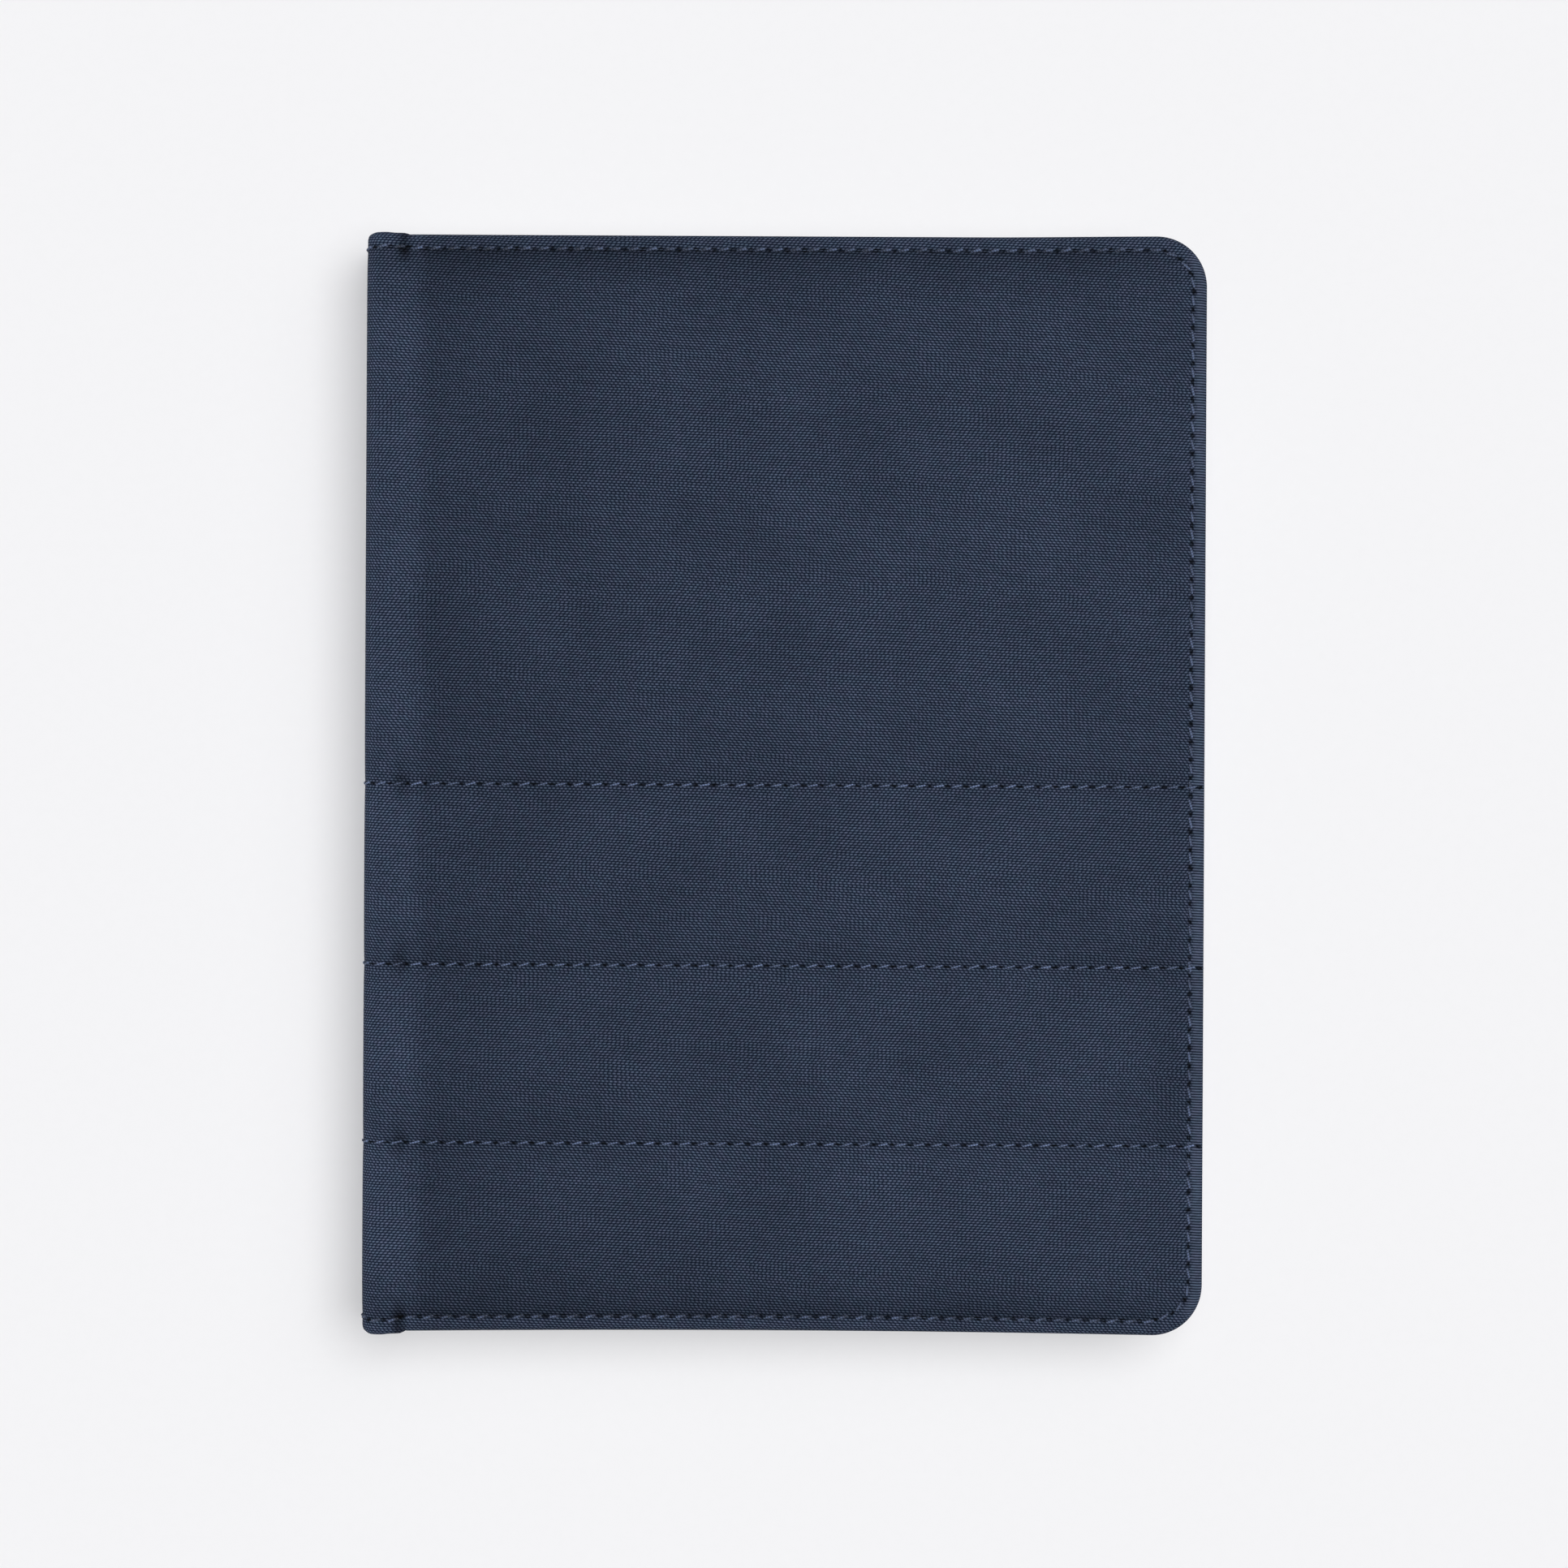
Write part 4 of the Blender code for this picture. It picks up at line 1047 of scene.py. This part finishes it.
def bundle_underside(node):
    """(points, faces, open edges, lowest height, thickness) of the underside of a bundle of leaves.
    Its height and thickness are taken where the leaves hang on the rings."""
    bm = welded(node)
    low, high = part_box(node)
    edge = [v.co for v in bm.verts if abs(abs(v.co.y) - high.y) < 0.1 * MM]
    columns = sorted({round(co.x / MM, 2) for co in edge})
    heights = {c: [co.z for co in edge if abs(co.x / MM - c) < 0.02] for c in columns}
    depth = {c: max(heights[c]) - min(heights[c]) for c in columns}
    bend = [c for c in columns if depth[c] > 0.1 * (high.z - low.z)]
    xs, lows = np.array(bend) * MM, np.array([min(heights[c]) for c in bend])
    bottom = [f for f in bm.faces if f.normal.z < -0.5
              and all(abs(v.co.z - np.interp(v.co.x, xs, lows)) < 0.05 * MM for v in f.verts)]
    verts = {v: i for i, v in enumerate(dict.fromkeys(v for f in bottom for v in f.verts))}
    points = np.array([tuple(v.co) for v in verts])
    faces = [[verts[v] for v in f.verts] for f in bottom]
    bm.free()
    edges = dict.fromkeys(pair for face in faces for pair in zip(face, face[1:] + face[:1]))
    rims = [(a, b) for a, b in edges if (b, a) not in edges]
    return points, faces, rims, lows[0], min(depth[c] for c in bend[1:-1])


def along_ring(z):
    """How far the rings reach from their centre at a height, in X."""
    return math.sqrt(RING_R**2 - (z - RING_Z) ** 2)


def leaf_stack(node, body, count, looks, rng):
    """A bundle of punched leaves, each a thin sheet of its own that lies a little out of line."""
    flat, faces, rims, start_z, thick = bundle_underside(node)
    pitch, n = thick / count, len(flat)
    pieces = Pieces()
    for k in range(count):
        shift = along_ring(start_z + k * pitch) - along_ring(start_z)
        offset = [shift + rng.uniform(-SHIFT_X, SHIFT_X), rng.uniform(-SHIFT_Y, SHIFT_Y),
                  k * pitch + 0.04 * pitch]
        under = flat + offset
        both = np.vstack([under, under + [0.0, 0.0, 0.92 * pitch]])
        sheet = faces + [[i + n for i in face[::-1]] for face in faces]
        sheet += [[b, a, a + n, b + n] for a, b in rims]
        pieces.add(both, sheet, both[:, :2] / UV_UNIT)
    made = pieces.build(f"{node}_sheets", looks["paper"])
    made.data.set_sharp_from_angle(angle=SHARP)
    finished(made, node, body)


# ---- Studio
VIEW_WIDTH = 0.3350  # metres across the picture, at the height of the cover
VIEW_ROLL = 0.30  # degrees
LENS = 120.0
WALLS_FILL = 0.03  # how much the studio's walls light the book
WALLS_SEEN = 0.80  # how bright they are in reflections, and behind the book
FLOOR_COLOUR = (0.893, 0.891, 0.907)
SUNLIGHT = 3.19
LIGHTS = [  # name, lean towards +X and +Y, spread (all as tangents), share of the light
    ("overhead", 0.0, 0.0, 0.06, 0.44),
    ("softbox", 0.20, 0.12, 0.34, 0.46),
    ("side", 0.45, 0.32, 0.42, 0.10),
]


def add_floor():
    g = Graph("studio_floor")
    grain = g.varied(g.noise(g.coordinates("Object"), 400.0), 0.997, 1.003)
    g.set(Base_Color=g.tinted(FLOOR_COLOUR, grain), Roughness=0.9, Specular_IOR_Level=0.1)
    corners = [(-4, -4, 0), (4, -4, 0), (4, 4, 0), (-4, 4, 0)]
    floor = mesh_object("floor", corners, [(0, 1, 2, 3)], g.material)
    floor.location.z = -0.02 * MM


def add_walls(scene):
    """A pale world that is bright to look at, but lights the book little."""
    scene.world = bpy.data.worlds.new("studio")
    scene.world.use_nodes = True
    tree = scene.world.node_tree
    background = tree.nodes["Background"]
    background.inputs["Color"].default_value = (0.97, 0.98, 1.0, 1.0)
    path = tree.nodes.new("ShaderNodeLightPath")
    strength = tree.nodes.new("ShaderNodeMapRange")
    strength.inputs["To Min"].default_value = WALLS_SEEN
    strength.inputs["To Max"].default_value = WALLS_FILL
    tree.links.new(path.outputs["Is Diffuse Ray"], strength.inputs["Value"])
    tree.links.new(strength.outputs["Result"], background.inputs["Strength"])


def add_lights():
    for name, lean_x, lean_y, spread, share in LIGHTS:
        light = bpy.data.lights.new(name, "SUN")
        light.angle = 2 * math.atan(spread)
        light.energy = SUNLIGHT * share
        made = linked(name, light)
        made.location = Vector((lean_x, lean_y, 1.0))
        made.rotation_mode = "QUATERNION"
        made.rotation_quaternion = (-made.location).to_track_quat("-Z", "Y")


def add_camera(scene):
    camera = bpy.data.cameras.new("camera")
    camera.sensor_width = 36.0
    camera.lens = LENS
    seen = linked("camera", camera)
    distance = VIEW_WIDTH / 2 / (camera.sensor_width / 2 / camera.lens)
    seen.location = (0.0, 0.0, TOP + distance)
    seen.rotation_euler = (0.0, 0.0, math.radians(VIEW_ROLL))
    scene.camera = seen


# ---- Assembly
def make_looks():
    return {
        "cloth": woven("navy_cloth", (0.0008, 0.0040, 0.0140), (0.100, 0.129, 0.198),
                       float_length=0.888 * MM, row_height=0.569 * MM, skew=0.047,
                       depth=0.10 * MM, mottle=0.10, slant=0.42),
        "lining": woven("lining_cloth", (0.0050, 0.0070, 0.0130), (0.030, 0.038, 0.062),
                        float_length=0.52 * MM, row_height=0.34 * MM, skew=0.0,
                        depth=0.04 * MM, mottle=0.06, slant=0.0),
        "thread": thread("navy_thread", (0.085, 0.115, 0.200)),
        "lining_thread": thread("lining_thread", (0.040, 0.052, 0.090)),
        "steel": steel(),
        "paper": paper(),
        "card": card(),
    }


def outer_cloth(looks):
    front = cloth_skin("front_quilted_cloth", False, looks["cloth"])
    back = cloth_skin("back_quilted_cloth", True, looks["cloth"])
    for piece in (front, *stitching("front", False, looks, 11)):
        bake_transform(piece)
    for piece in (back, *stitching("back", True, looks, 12)):
        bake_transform(piece)
    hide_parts("front_outer_cloth", "front_foam_pad", "front_board")
    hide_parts("back_outer_cloth", "back_foam_pad", "back_board", "spine_outer_cloth",
                "spine_foam_pad", "spine_board")


def main():
    looks = make_looks()
    outer_cloth(looks)
    for side, facing in (("front", -1), ("back", 1)):
        sewn_sheet(f"{side}_lining", f"{side}_cover", facing, LINING_RADII,
                   looks, lining_routes, 21)
        hinge_lining(side, looks)
    sewn_sheet("spine_lining", "spine", 1, SPINE_LINING_RADII,
               looks, upright=True)
    pocket("document_pocket", 7.0 * MM, looks, 31)
    for number in (1, 2, 3):
        pocket(f"card_slot_{number}", 4.0 * MM, looks, 31 + number)
    ring_bar("ring_bar_spine_side", -1, looks)
    ring_bar("ring_bar_leaf_side", 1, looks)
    for node, body in STEEL_BODIES.items():
        refined(node, body, "steel", looks["steel"], 0.12 * MM)
    for node, body in CARD_BODIES.items():
        refined(node, body, "card", looks["card"], 0.05 * MM)
    rng = np.random.default_rng(5)
    for node, (body, count) in LEAF_BODIES.items():
        leaf_stack(node, body, count, looks, rng)
    scene = bpy.context.scene
    add_floor()
    add_walls(scene)
    add_lights()
    add_camera(scene)
    scene.view_settings.view_transform = "Standard"


main()
